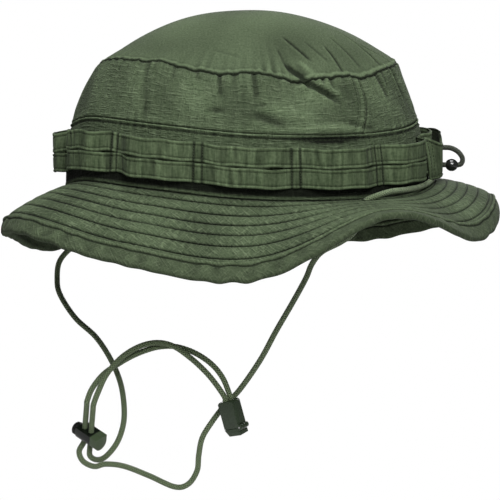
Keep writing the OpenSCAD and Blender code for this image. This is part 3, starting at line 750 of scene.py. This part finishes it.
def tube(line, diameter, sides, weave=0.0, pitch=6.0):
    """Points, faces and uv of a round cord; weave is how far its strands stand out."""
    line = np.array(line, float)
    t = unit(np.gradient(line, axis=0))
    across = [np.cross(t[0], (0.31, 0.2, 0.93))]
    for ahead in t:
        across.append(unit(across[-1] - ahead * across[-1].dot(ahead)))
    across = np.array(across[1:])
    up = np.cross(t, across)
    run = run_along(line)[:, None]
    a = np.arange(sides)[None, :] * 2 * np.pi / sides
    lay = 2 * np.pi * run / pitch * 3
    r = diameter / 2 * (1 - weave + weave * np.maximum(np.sin(6 * a + lay), np.sin(6 * a - lay)))
    p = line[:, None] + across[:, None] * (r * np.cos(a))[..., None] + up[:, None] * (r * np.sin(a))[..., None]
    quads = np.roll(grid_quads(len(line), sides, False, flip=True, across=True), 1, 1)
    last = (len(line) - 1) * sides
    caps = [list(range(sides - 1, -1, -1)), list(range(last, last + sides))]
    uv = np.stack(np.broadcast_arrays(a / (2 * np.pi), run), -1).reshape(-1, 2)
    return p.reshape(-1, 3), quads.tolist() + caps, uv


class Stitches:
    """Short raised threads gathered into one mesh."""

    def __init__(self):
        self.points, self.faces, self.count = [], [], 0
        ring = np.arange(6) * np.pi / 3
        along = [(-0.98, 0.25), (-0.7, 0.85), (0, 1), (0.7, 0.85), (0.98, 0.25)]
        self.shape = np.array([[x, r * math.cos(a), r * math.sin(a)] for x, r in along for a in ring])
        quads = [[6 * k + j, 6 * k + 6 + j, 6 * k + 6 + (j + 1) % 6, 6 * k + (j + 1) % 6]
                 for k in range(4) for j in range(6)]
        self.quads = quads + [[0, 1, 2, 3, 4, 5], [29, 28, 27, 26, 25, 24]]

    def row(self, line, normals, pitch=3.0, length=2.4, width=0.62, height=0.5, rise=0.05, closed=True):
        """Stitches a pitch apart along a line, on a face with those normals."""
        line, normals = np.asarray(line), np.asarray(normals)
        if closed:
            line, normals = np.vstack([line, line[:1]]), np.vstack([normals, normals[:1]])
        run = run_along(line)
        n = max(1, int(run[-1] / pitch))
        middle = (np.arange(n) + 0.5) * run[-1] / n

        def at(values, where):
            return np.stack([np.interp(where, run, values[:, k]) for k in range(3)], -1)

        a, b = at(line, middle - length / 2), at(line, middle + length / 2)
        x = unit(b - a)
        y = unit(np.cross(at(normals, middle), x))
        z = np.cross(x, y)
        p = ((a + b) / 2 + z * rise)[:, None]
        for way, size, part in zip((x, y, z), (length, width, height), self.shape.T):
            p = p + way[:, None] * (part * size / 2)[None, :, None]
        for k in range(n):
            base = self.count + k * len(self.shape)
            self.faces += [[base + v for v in f] for f in self.quads]
        self.points.append(p.reshape(-1, 3))
        self.count += n * len(self.shape)

    def on(self, cloth, place, shift=0, **more):
        """A row along one line of a cloth's grid."""
        self.row(cloth.face[place] + shift, cloth.normals[place], **more)

    def make(self, name, nodes=()):
        points = np.concatenate(self.points)
        put_mesh(name, points, self.faces, THREAD, nodes, uv=points[:, :2] * 2)


def rounded_copy(node, body, material, width=0.25, segments=3, angle=28):
    """The CAD part with its sharp edges rounded, as a new piece."""
    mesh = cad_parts[node].data.copy()
    bm = bmesh.new()
    bm.from_mesh(mesh)
    bmesh.ops.remove_doubles(bm, verts=bm.verts, dist=2e-6)
    bmesh.ops.dissolve_limit(bm, angle_limit=math.radians(0.5), verts=bm.verts, edges=bm.edges)
    bm.edges.ensure_lookup_table()
    sharp = [e for e in bm.edges if len(e.link_faces) == 2 and e.calc_face_angle(0) > math.radians(angle)]
    bmesh.ops.bevel(bm, geom=sharp, offset=width * MM, segments=segments, profile=0.5, affect="EDGES",
                    clamp_overlap=True)
    bm.normal_update()
    bm.to_mesh(mesh)
    bm.free()
    mesh.materials.clear()
    mesh.materials.append(material)
    mesh.polygons.foreach_set("use_smooth", [True] * len(mesh.polygons))
    mesh.set_sharp_from_angle(angle=math.radians(40))
    return ride(add_object(node + "_rounded", mesh), body, [node])


# ---------------- camera, light and floor
def camera():
    aim = np.array([5.5, 1.7, -39.3]) * MM
    elevation, distance, frame_height, sensor = math.radians(8), 1.8, 0.2876, 36
    cam = bpy.data.cameras.new("camera")
    obj = add_object("camera", cam)
    obj.location = aim + np.array([math.cos(elevation), 0, math.sin(elevation)]) * distance
    obj.rotation_euler = (math.pi / 2 - elevation, 0, math.pi / 2)
    cam.sensor_width = sensor
    cam.lens = sensor * distance / frame_height
    bpy.context.scene.camera = obj


# Name, place in metres, size and power
LIGHTS = (("back_light", (-1.6, 0.3, 0.45), 1.0, 14.0), ("top_light", (0.30, -0.10, 1.6), 0.8, 29.0),
          ("camera_light", (1.68, 0.25, 1.0), 0.8, 36.0))
WORLD_LIGHT = 0.12


def studio():
    scene = bpy.context.scene
    scene.view_settings.view_transform = "Standard"
    scene.view_settings.look = "None"
    world = bpy.data.worlds.new("studio")
    scene.world = world
    world.use_nodes = True
    tree = world.node_tree
    back = tree.nodes["Background"]
    back.inputs["Color"].default_value = (1, 1, 1, 1)
    path = tree.nodes.new("ShaderNodeLightPath")
    strength = tree.nodes.new("ShaderNodeMapRange")
    strength.inputs["To Min"].default_value = WORLD_LIGHT
    tree.links.new(path.outputs["Is Camera Ray"], strength.inputs["Value"])
    tree.links.new(strength.outputs[0], back.inputs["Strength"])
    for name, place, size, power in LIGHTS:
        data = bpy.data.lights.new(name, "AREA")
        data.size = size
        data.energy = power
        light = add_object(name, data)
        light.location = place
        light.rotation_euler = (-Vector(place)).to_track_quat("-Z", "Y").to_euler()


def studio_floor():
    """Plain floor that the camera sees as pale as the studio."""
    n = Nodes("floor", 0.9)
    n.shader.inputs["Base Color"].default_value = (0.5, 0.5, 0.5, 1)
    emission = n.add("ShaderNodeEmission", Strength=1.0)
    path = n.add("ShaderNodeLightPath")
    mix = n.add("ShaderNodeMixShader")
    seen = path.outputs["Is Camera Ray"]
    for value, socket in zip((seen, n.shader.outputs[0], emission.outputs[0]), mix.inputs):
        n.link(value, socket)
    n.link(mix.outputs[0], n.tree.nodes["Material Output"].inputs[0])
    mesh = bpy.data.meshes.new("floor")
    half, z = 6.0, float(cad_box[0][2]) - 0.15
    corners = [(x * half, y * half, z) for x, y in ((-1, -1), (1, -1), (1, 1), (-1, 1))]
    mesh.from_pydata(corners, [], [(0, 1, 2, 3)])
    mesh.materials.append(n.material)
    add_object("floor", mesh)


camera()
studio()
studio_floor()


# ---------------- chin cord
def turned(point, about):
    """A point turned about X, then Y, then Z."""
    return np.array(Euler([math.radians(a) for a in about]).to_matrix() @ Vector(point))


def lock_point(across, up):
    """Point on the cord's straight stretch: across is along the barrel, up is up the cord."""
    return LOCK_PLACE + turned((0, across, up), LOCK_TURN)


def end_point(depth, across, up):
    """Point in the cord end, whose upper face is at up = 0."""
    return END_PLACE + turned(turned((depth, across, up), (0, 0, END_TURN[1])), (END_TURN[0], 0, 0))


def strand_line(side):
    """One strand from its hole in the brim through the lock to the cord end."""
    route, tail = (LEFT_ROUTE, LEFT_TAIL) if side < 0 else (RIGHT_ROUTE, RIGHT_TAIL)
    across = HOLE_MIDDLE + side * HOLE_SPACING / 2
    steps = [*np.linspace(-LOCK_BELOW, LOCK_ABOVE, 7), LOCK_ABOVE + 1.6]
    straight = [lock_point(across, up) for up in steps]
    entry = [end_point(side * ENTRY[0], -side * ENTRY[1], up) for up in (3, 0, -5, -ENTRY_DEPTH)]
    start = [slot_point(-side, SLOT_FOOT - k) for k in (0, 2)]
    return spline(start + list(route) + straight + list(tail) + entry, 0.5)


def slot_point(side, along):
    """Point on the middle line of a cord slot, which leans back as it goes up."""
    lean = math.radians(SLOT_LEAN)
    foot = wall(SLOT_ANGLE if side > 0 else 180 - SLOT_ANGLE, 0, SLOT_OUT)
    return foot + np.array([0, math.sin(lean), math.cos(lean)]) * along


def back_run_line():
    """The cord from hole to hole behind the crown."""
    run = [slot_point(1, v) for v in (SLOT_FOOT + 0.2, -3, 0.5)]
    for t in range(46, 135, 8):
        away = smooth((abs(t - REAR_ANGLE) - 16) / 24)
        run.append(wall(t, CORD_HEIGHT + 1.2 * away, CORD_LIE + 0.5 + 3.2 * away))
    return spline(run + [slot_point(-1, v) for v in (0.5, -3, SLOT_FOOT + 0.2)], 0.5)


def cord_piece(name, line, node, diameter=CORD_D, material=CORD, thick=1.0):
    """A braided cord along a line, in place of its CAD node."""
    points, faces, uv = tube(line, diameter * thick, 36, weave=0.05)
    obj = put_mesh(name, points, faces, material, [node], uv=uv, round_trip=1)


def chin_cord():
    lock = [rounded_copy("cord_lock_barrel", "cord_lock", BARREL),
            rounded_copy("cord_lock_plunger", "cord_lock_plunger", BLACK_PLASTIC, 0.35),
            rounded_copy("cord_lock_spring", "cord_lock", STEEL, 0.02, 1, 80)]
    end = [rounded_copy("cord_end_body", "hat", GREEN_PLASTIC, 0.3),
           rounded_copy("cord_end_lid", "cord_end_lid", GREEN_PLASTIC, 0.3),
           rounded_copy("cord_end_hinge_pin", "hat", STEEL, 0.15)]
    knot = knot_piece()
    cord_piece("chin_cord_left_braid", strand_line(-1), "chin_cord_left")
    cord_piece("chin_cord_right_braid", strand_line(1), "chin_cord_right")
    cord_piece("chin_cord_back_braid", back_run_line(), "chin_cord_back_run")


def knot_piece():
    """The two strand ends tied together inside the cord end: a lumpy overhand knot."""
    low, high = cad_size("cord_end_knot")
    middle, r = (low + high) / 2, (high[0] - low[0]) / 2
    a = np.linspace(0, 2 * np.pi, 97)[:-1]
    big, small = r * 0.46, r * 0.24
    ring = big + small * 1.1 * np.cos(3 * a)
    line = np.stack([ring * np.cos(2 * a), ring * np.sin(2 * a), small * 1.5 * np.sin(3 * a)], -1) + middle
    points, faces, uv = tube(np.vstack([line, line[:2]]), 2 * small * 1.7, 16, weave=0.05)
    return put_mesh("cord_end_knot_tied", points, faces, CORD, ["cord_end_knot"], uv=uv, round_trip=1)


def barrel_material():
    """Glossy dark green plastic, painted near black along the barrel as painted shade and painted green at its
    closed end as painted light.
    """
    n = Nodes("lock_barrel", 0.2, specular=0.3)
    coords = n.add("ShaderNodeTexCoord").outputs["Object"]
    marks = n.noise(coords, 260.0, 4.0)
    axis = turned((0, 1, 0), LOCK_TURN)
    dot = n.add("ShaderNodeVectorMath", operation="DOT_PRODUCT")
    n.link(coords, dot.inputs[0])
    dot.inputs[1].default_value = axis
    start = (float(LOCK_PLACE @ axis) + LIT_END_FROM) * MM
    # Painted light: the closed end lit green; the rest stays near black as painted shade.
    lit_end = n.spread(dot.outputs["Value"], start, start + LIT_END_FADE * MM)
    tint = n.mix(lit_end, (0.004, 0.006, 0.004), (0.062, 0.090, 0.047))
    tint = n.mix(n.math("MULTIPLY", marks, 0.25), tint, (0.014, 0.020, 0.012))
    rough = n.total(0.12, (lit_end, 0.18), (marks, 0.12))
    return n.finish(tint, n.bump(n.noise(coords, 1800.0), 0.25, 0.00004), rough)


BARREL = barrel_material()
chin_cord()


# ---------------- crown
def turn_rows(t0, t1, step):
    """Angles from t0 to t1 about a step apart, both ends included."""
    return np.linspace(t0, t1, int(round((t1 - t0) / step)) + 1)


ALL_ROUND = np.arange(720) / 2 + 90.0
ROUND_LENGTH = line_length(np.vstack([wall(ALL_ROUND, 0 * ALL_ROUND), wall([90.0], [0.0])]))


def arc(t):
    """Length of an angle along the crown's foot."""
    return np.asarray(t, float) / 360 * ROUND_LENGTH


def wall_cloth(name, node, t, z, wrap, lean=(0, 0), tone=0, material=HAT_CLOTH, tuck=0.0):
    """Crown cloth between two angles, its two ends leaning with the panel joint."""
    tt, zz = grid(t, z)
    share = (tt - t[0]) / (t[-1] - t[0])
    tt = tt + bow(zz) * (lean[0] * (1 - share) + lean[1] * share)
    relief = wall_relief(tt, zz) + seam_relief(tt, zz) - tuck * smooth((BAND_SEAM + 0.1 - zz) / 0.6)
    uv = np.stack([arc(tt - t[0]), zz], -1)
    return Cloth(name, wall(tt, zz), relief, uv, material, [node], wrap, tone=tone,
                 round_trip=ROUND_LENGTH if wrap else 0)


def side_panels():
    """Front and back side panels, which meet at the two panel joints."""
    z = np.concatenate([BAND_SEAM - np.array([2.2, 1.4, 0.8, 0.4]), np.arange(BAND_SEAM, TOP_SEAM - 0.3, 0.75),
                        [TOP_SEAM - 0.3]])
    gap = 0.15
    panels = (("crown_side_front", 180 - PANEL_JOINT + gap, 360 + PANEL_JOINT - gap, (-1, 1)),
              ("crown_side_back", PANEL_JOINT + gap, 180 - PANEL_JOINT - gap, (1, -1)))
    return [wall_cloth(node + "_cloth", node, turn_rows(start, end, 0.5), z, False, lean, tuck=SEAM_TUCK)
            for node, start, end, lean in panels]


def crown_top():
    r = np.concatenate([np.linspace(0.02, 0.86, 56), np.linspace(0.875, 1.0, 16)])
    tt, rr = grid(ALL_ROUND, r)
    plain = dome(tt, rr)
    y = (1 - rr) * DOME_DEPTH
    # Painted highlight on the turned edge just inside the top seam, strongest about 50 degrees round, and
    # painted shade in the seam itself.
    edge = near(turn_from(tt, 50), 0, 35)
    return Cloth("crown_top_cloth", plain, dome_relief(tt, rr), plain[..., :2] + FLAT_CORNER, TOP_CLOTH,
                 ["crown_top"], out=-1, pole=True,
                 tone=(0.25 + 0.5 * edge) * near(y, 1.6, 0.8) - 0.9 * near(y, 0.2, 0.7))


def sweatband():
    tt, zz = grid(ALL_ROUND, np.linspace(-2, 30, 41))
    relief = 0.25 * ripple(tt, zz, 31, (40, 90), (-0.02, 0.02)) + 0.2 * near(zz, 29, 1.0)
    return Cloth("sweatband_cloth", wall(tt, zz, -1.9), relief, np.stack([arc(tt - 90), zz], -1), LINING,
                 ["sweatband"], out=-1, slot="sweatband_cloth", round_trip=ROUND_LENGTH)


def crown():
    front, back = side_panels()
    z = np.concatenate([np.arange(0.3, 30, 0.9), np.arange(30, BAND_SEAM - 0.2, 0.3)])
    # Painted shade on the band below the loop tapes, where they shade it, and a painted highlight on the ridge
    # at its foot.
    band = wall_cloth("crown_lower_band_cloth", "crown_lower_band", ALL_ROUND, z, True,
                      tone=-0.85 * smooth((19 - z) / 8) + 0.8 * near(z, 1.3, 0.8), material=BAND_CLOTH)
    top = crown_top()
    stitches = Stitches()
    for cloth, j in ((top, -2), (band, -9)):
        stitches.on(cloth, np.s_[:, j], pitch=2.8)
    for i in (2, 8, -3, -9):
        stitches.on(front, np.s_[i, 1:-1], pitch=2.8, closed=False)
    stitches.make("crown_stitching")
    sweat = sweatband()


# ---------------- brim
def brim_flat(tt, uu):
    """Place on the brim laid out flat, which gives the weave its direction."""
    base = wall(tt, 0 * tt)
    return base[..., :2] + outward(tt)[..., :2] * (uu * BRIM_WIDTH)[..., None] + FLAT_CORNER


def brim_pieces():
    around = np.arange(880) * 360 / 880 + 90.0
    u = np.unique(np.concatenate([np.linspace(0.004, 0.985, 82), STITCH_RINGS]))
    tt, uu = grid(around, u)
    relief = brim_relief(tt, uu)
    flat = brim_flat(tt, uu)
    # Painted shade at the brim's root against the crown and along its stitch rings: the tone of the upper cloth
    # below.
    rings = sum(near(uu, ring, 0.007) for ring in STITCH_RINGS)
    upper = Cloth("brim_upper_cloth", brim(tt, uu), relief, flat, BRIM_CLOTH, ["brim_upper"], out=-1, thick=0.5,
                  tone=-0.5 * near(uu, 0, 0.02) - 0.3 * rings)
    lower = Cloth("brim_lower_cloth", brim(tt, np.maximum(uu, 0.05), BRIM_DEPTH), relief * 0.8, flat,
                  BRIM_CLOTH, ["brim_lower"], thick=0.5)
    stitches = Stitches()
    for ring in STITCH_RINGS:
        j = nearest(u, ring)
        for cloth in (upper, lower):
            stitches.on(cloth, np.s_[:, j], width=0.5, height=0.42, rise=0.02)
    halves = [stiffener_half("brim_interlining_front", 180), stiffener_half("brim_interlining_back", 0)]
    binding = brim_binding(around, stitches)
    stitches.make("brim_stitching")


def stiffener_half(node, start):
    """Felt between the brim's two cloths, half the way round."""
    tt, uu = grid(turn_rows(start + 0.2, start + 179.8, 2), np.linspace(0.035, 0.985, 24))
    relief = 0.02 * ripple(tt, uu * BRIM_WIDTH, 71, (60, 90), (-0.1, 0.1))
    return Cloth(node + "_felt", brim(tt, uu, 1.0), relief, brim_flat(tt, uu), FELT, [node], wrap=False, out=-1,
                 thick=0.2, slot="stiffener")


def brim_binding(around, stitches):
    """Bias tape folded over the brim's edge."""
    s, rise, longer = BINDING_START, 0.75, 1.5
    half = [(s, -rise * 0.6), (s + 0.008, -rise * 1.4), (s + 0.022, -rise * 1.6), (s + 0.045, -rise * 1.2),
            (0.90, -rise * 1.25), (0.95, -rise * 1.3), (0.985, -rise * 1.2), (1.006, -0.35)]
    other = [(u, BRIM_DEPTH - d) for u, d in reversed(half)]
    profile = spline([(u * 100, d, 0) for u, d in half + [(1.014, BRIM_DEPTH / 2)] + other], 0.42)
    tt, k = grid(around, np.arange(len(profile)))
    uu, deep = profile[k, 0] / 100, profile[k, 1]
    calm = 1 - 0.7 * near(turn_from(tt, 95), 0, 40)
    lift = 0.9 * ripple(tt, deep * 0, 81, (24, 70), (0, 0), 9) * calm
    plain = brim(tt, uu + 0.006 * lift * smooth((uu - s) * 12), deep)
    w = (uu - s) * BRIM_WIDTH
    top = np.where(deep < BRIM_DEPTH / 2, 1, 0.7)
    flat = smooth((0.985 - uu) * 60)
    relief = top * 0.16 * ripple(tt, w, 82, (24, 90), (-0.05, 0.05), 10) * smooth(w / 1.5) * flat
    relief = relief * calm - 0.65 * near(w, 3.0, 0.45) + 0.3 * near(w, 1.4, 0.9)
    uv = np.stack([arc(tt - 90) * longer, run_along(profile)[k] * BRIM_WIDTH / 100], -1)
    # Painted highlight on the ridge beside the edge stitching, painted shade in the stitch groove and along the
    # binding's inner edge.
    binding = Cloth("brim_binding_cloth", plain, relief, uv, BINDING, ["brim_binding"], out=-1, thick=0.45,
                    round_trip=ROUND_LENGTH * longer,
                    tone=0.5 * near(w, 1.5, 0.7) - 0.7 * near(w, 3.0, 0.6) - 0.9 * near(w, -0.1, 0.5))
    j = int(np.argmin(np.abs(profile[:, 0] / 100 - s - 3.0 / BRIM_WIDTH) + (profile[:, 1] > 0) * 9))
    stitches.on(binding, np.s_[:, j], width=0.55, height=0.45, rise=0.02)
    return binding


# ---------------- loop tapes and rear strap
def tape_relief(tt, h, height, seed):
    """Folded edges, grooves under the stitches and puckers of a tape of some height."""
    edge = np.minimum(h, height - h)
    pucker = ripple(tt, h, seed, (90, 170), (-0.03, 0.03), 8)
    patch = 0.5 + 0.5 * ripple(tt, h * 0, seed + 4, (9, 25), (0, 0), 6)
    sag = ripple(tt, h, seed + 1, (30, 70), (-0.03, 0.03), 6)
    d = 0.30 * smooth(edge / 0.5) - 0.28 * near(edge, 2.0, 0.4) + 0.25 * near(edge, 0.8, 0.6)
    return d + (0.13 * pucker * patch + 0.12 * sag) * smooth(edge / 0.8)


def loop_tape(node, base, seed, stitches, bars):
    """One tape round the crown, from a height up, sewn down at the bars and free between them."""
    around = np.arange(1200) * 0.3 + 90.0
    h = np.linspace(0, TAPE_HEIGHT, 29)
    tt, hh = grid(around, h)
    z = base + hh + 0.2 * ripple(tt, 0 * hh, seed + 2, (9, 34), (0, 0), 6)
    z = z + FRONT_TAPE_LIFT * near(turn_from(tt, -98), 0, 22)
    in_rear = np.abs(turn_from(tt, REAR_ANGLE)) < 15
    gap = np.where(in_rear, TAPE_LIE, TAPE_GAP)
    sway = 0.22 * ripple(tt, hh, seed + 3, (6, 20), (-0.01, 0.01), 6) * freedom(tt) * ~in_rear
    plain = strap_point(tt, z, gap, TAPE_LIE, TAPE_THICK + sway)
    pinch = -0.8 * sum(near(turn_from(tt, a), 0, 0.4) + 0.2 * near(turn_from(tt, a), 0, 2.0) for a in bars)
    relief = tape_relief(tt, hh, TAPE_HEIGHT, seed) + pinch
    uv = np.stack([arc(tt - 90), hh], -1)
    tape = Cloth(node + "_cloth", plain, relief, uv, TAPE, [node], thick=0.9, slot="loop_tape",
                 round_trip=ROUND_LENGTH)
    for edge in (1.9, TAPE_HEIGHT - 1.9):
        j = nearest(h, edge)
        stitches.on(tape, np.s_[:, j], pitch=2.7, length=2.0, width=0.4, height=0.3, rise=0.0)
    return tape, around


def loop_tapes():
    """Both tapes, with their edge stitches and the double bars between the loops."""
    centres = [15 + 30 * k for k in range(LOOPS)]
    apart = BAR_SPACING / ROUND_LENGTH * 360 / 2
    bars = [c + s * apart for c in centres for s in (-1, 1)]
    stitches, tacks = Stitches(), Stitches()
    for node, base, seed in (("upper_loop_tape", UPPER_TAPE, 91), ("lower_loop_tape", LOWER_TAPE, 95)):
        tape, around = loop_tape(node, base, seed, stitches, bars)
        for bar in bars:
            i = nearest(turn_from(around, bar), 0)
            for shift in (-0.18, 0.18):
                side = outward(around[i])
                along = np.array([-side[1], side[0], 0]) * shift
                tacks.on(tape, np.s_[i, 1:-1], along, pitch=1.5, length=1.15, width=0.75, height=0.55,
                         rise=0.12, closed=False)
    stitches.make("loop_tape_stitching")
    tacks.make("loop_bar_stitching", ["loop_bartacks"])


def rear_strap():
    """Open strap at the back, with the elastic loop coming out through it."""
    t = turn_rows(REAR_ANGLE - REAR_HALF_ANGLE, REAR_ANGLE + REAR_HALF_ANGLE, 0.25)
    tt, ff = grid(t, np.linspace(0, 1, 45))
    far = smooth((tt - REAR_ANGLE - 1) / 4) * smooth((REAR_ANGLE + REAR_HALF_ANGLE - tt) / 6)
    height = REAR_HEIGHT - 5 * freedom(tt) + 5 * far
    h = ff * height
    plain = strap_point(tt, REAR_FOOT + h, REAR_GAP, REAR_LIE, REAR_THICK)
    uv = np.stack([arc(tt - t[0]), ff * 24], -1)
    # Painted shade over the upper part of the strap's raised far half, standing for the dark inside of its open
    # top.
    strap = Cloth("rear_strap_cloth", plain, tape_relief(tt, h, height, 101), uv, TAPE, ["rear_strap"],
                  wrap=False, thick=1.1, slot="loop_tape", tone=-1.4 * far * smooth((h - 14) / 4))
    stitches = Stitches()
    for j in (3, -4):
        stitches.on(strap, np.s_[:, j], pitch=2.7, length=2.1, closed=False)
    for i in (4, 12, -5, -13):
        stitches.on(strap, np.s_[i, 2:-2], pitch=1.8, length=1.5, closed=False)
    stitches.make("rear_strap_stitching")
    bead = bead_piece()
    cord_piece("rear_elastic_loop", spline(ELASTIC_ROUTE, 0.5), "rear_elastic_cord",
               ELASTIC_D, ELASTIC, 1.15)


def bead_piece():
    """Small round bead with a bore for the elastic."""
    low, high = cad_size("rear_bead")
    middle, r = (low + high) / 2, (high[0] - low[0]) / 2
    bore, half = ELASTIC_D / 2 + 0.1, (high[1] - low[1]) / 2
    steps = np.linspace(-1, 1, 19) * math.asin(min(0.98, half / r))
    outer = [(r * math.cos(a) - 0.12 * (abs(math.sin(a)) < 0.09), r * math.sin(a)) for a in steps]
    inner = [(bore + 0.25, outer[-1][1] - 0.02), (bore, outer[-1][1] - 0.3), (bore, -outer[-1][1] + 0.3),
             (bore + 0.25, -outer[-1][1] + 0.02)]
    points, faces = lathe(outer + inner, 48)
    points = points[:, [0, 2, 1]] * [1, -1, 1] + middle
    return put_mesh("rear_bead_turned", points, faces, BLACK_PLASTIC, ["rear_bead"], "rear_bead")


def eyelets():
    """Buttonhole stitching round each hole where the chin cord goes through the brim."""
    stitches = Stitches()
    for t in (SLOT_ANGLE, 180 - SLOT_ANGLE):
        for deep, way in ((-0.35, 1), (BRIM_DEPTH + 0.35, -1)):
            centre = wall(t, 0, SLOT_OUT)
            u0 = SLOT_OUT / BRIM_WIDTH
            mid = brim(t, u0, deep)
            e1, e2 = unit(brim(t + 1.0, u0, deep) - mid), unit(brim(t, u0 + 0.02, deep) - mid)
            n = np.cross(e1, e2)
            n = n * (way if n[2] > 0 else -way)
            mid = mid + (centre[:2] - mid[:2]).dot(e1[:2]) * e1
            for a in np.arange(0, 2 * np.pi, 0.28):
                d = e1 * math.cos(a) + e2 * math.sin(a)
                stitches.row([mid + d * 2.2, mid + d * 3.7], [n, n], pitch=9, length=1.5, width=0.6,
                             height=0.7, rise=0, closed=False)
    stitches.make("cord_hole_stitching")


FELT = cloth_material("stiffener_felt", (0.030, 0.036, 0.026), (0.075, 0.085, 0.065))
BINDING = cloth_material("binding_cloth", (0.024, 0.036, 0.017), (0.092, 0.120, 0.068), turn=45.0, streak=0.6,
                         cross=0.3, wear_and_shade=(0.3, 1.3))
ELASTIC = cord_material("elastic_cord", (0.010, 0.014, 0.008), (0.050, 0.062, 0.036))
crown()
brim_pieces()
loop_tapes()
rear_strap()
eyelets()
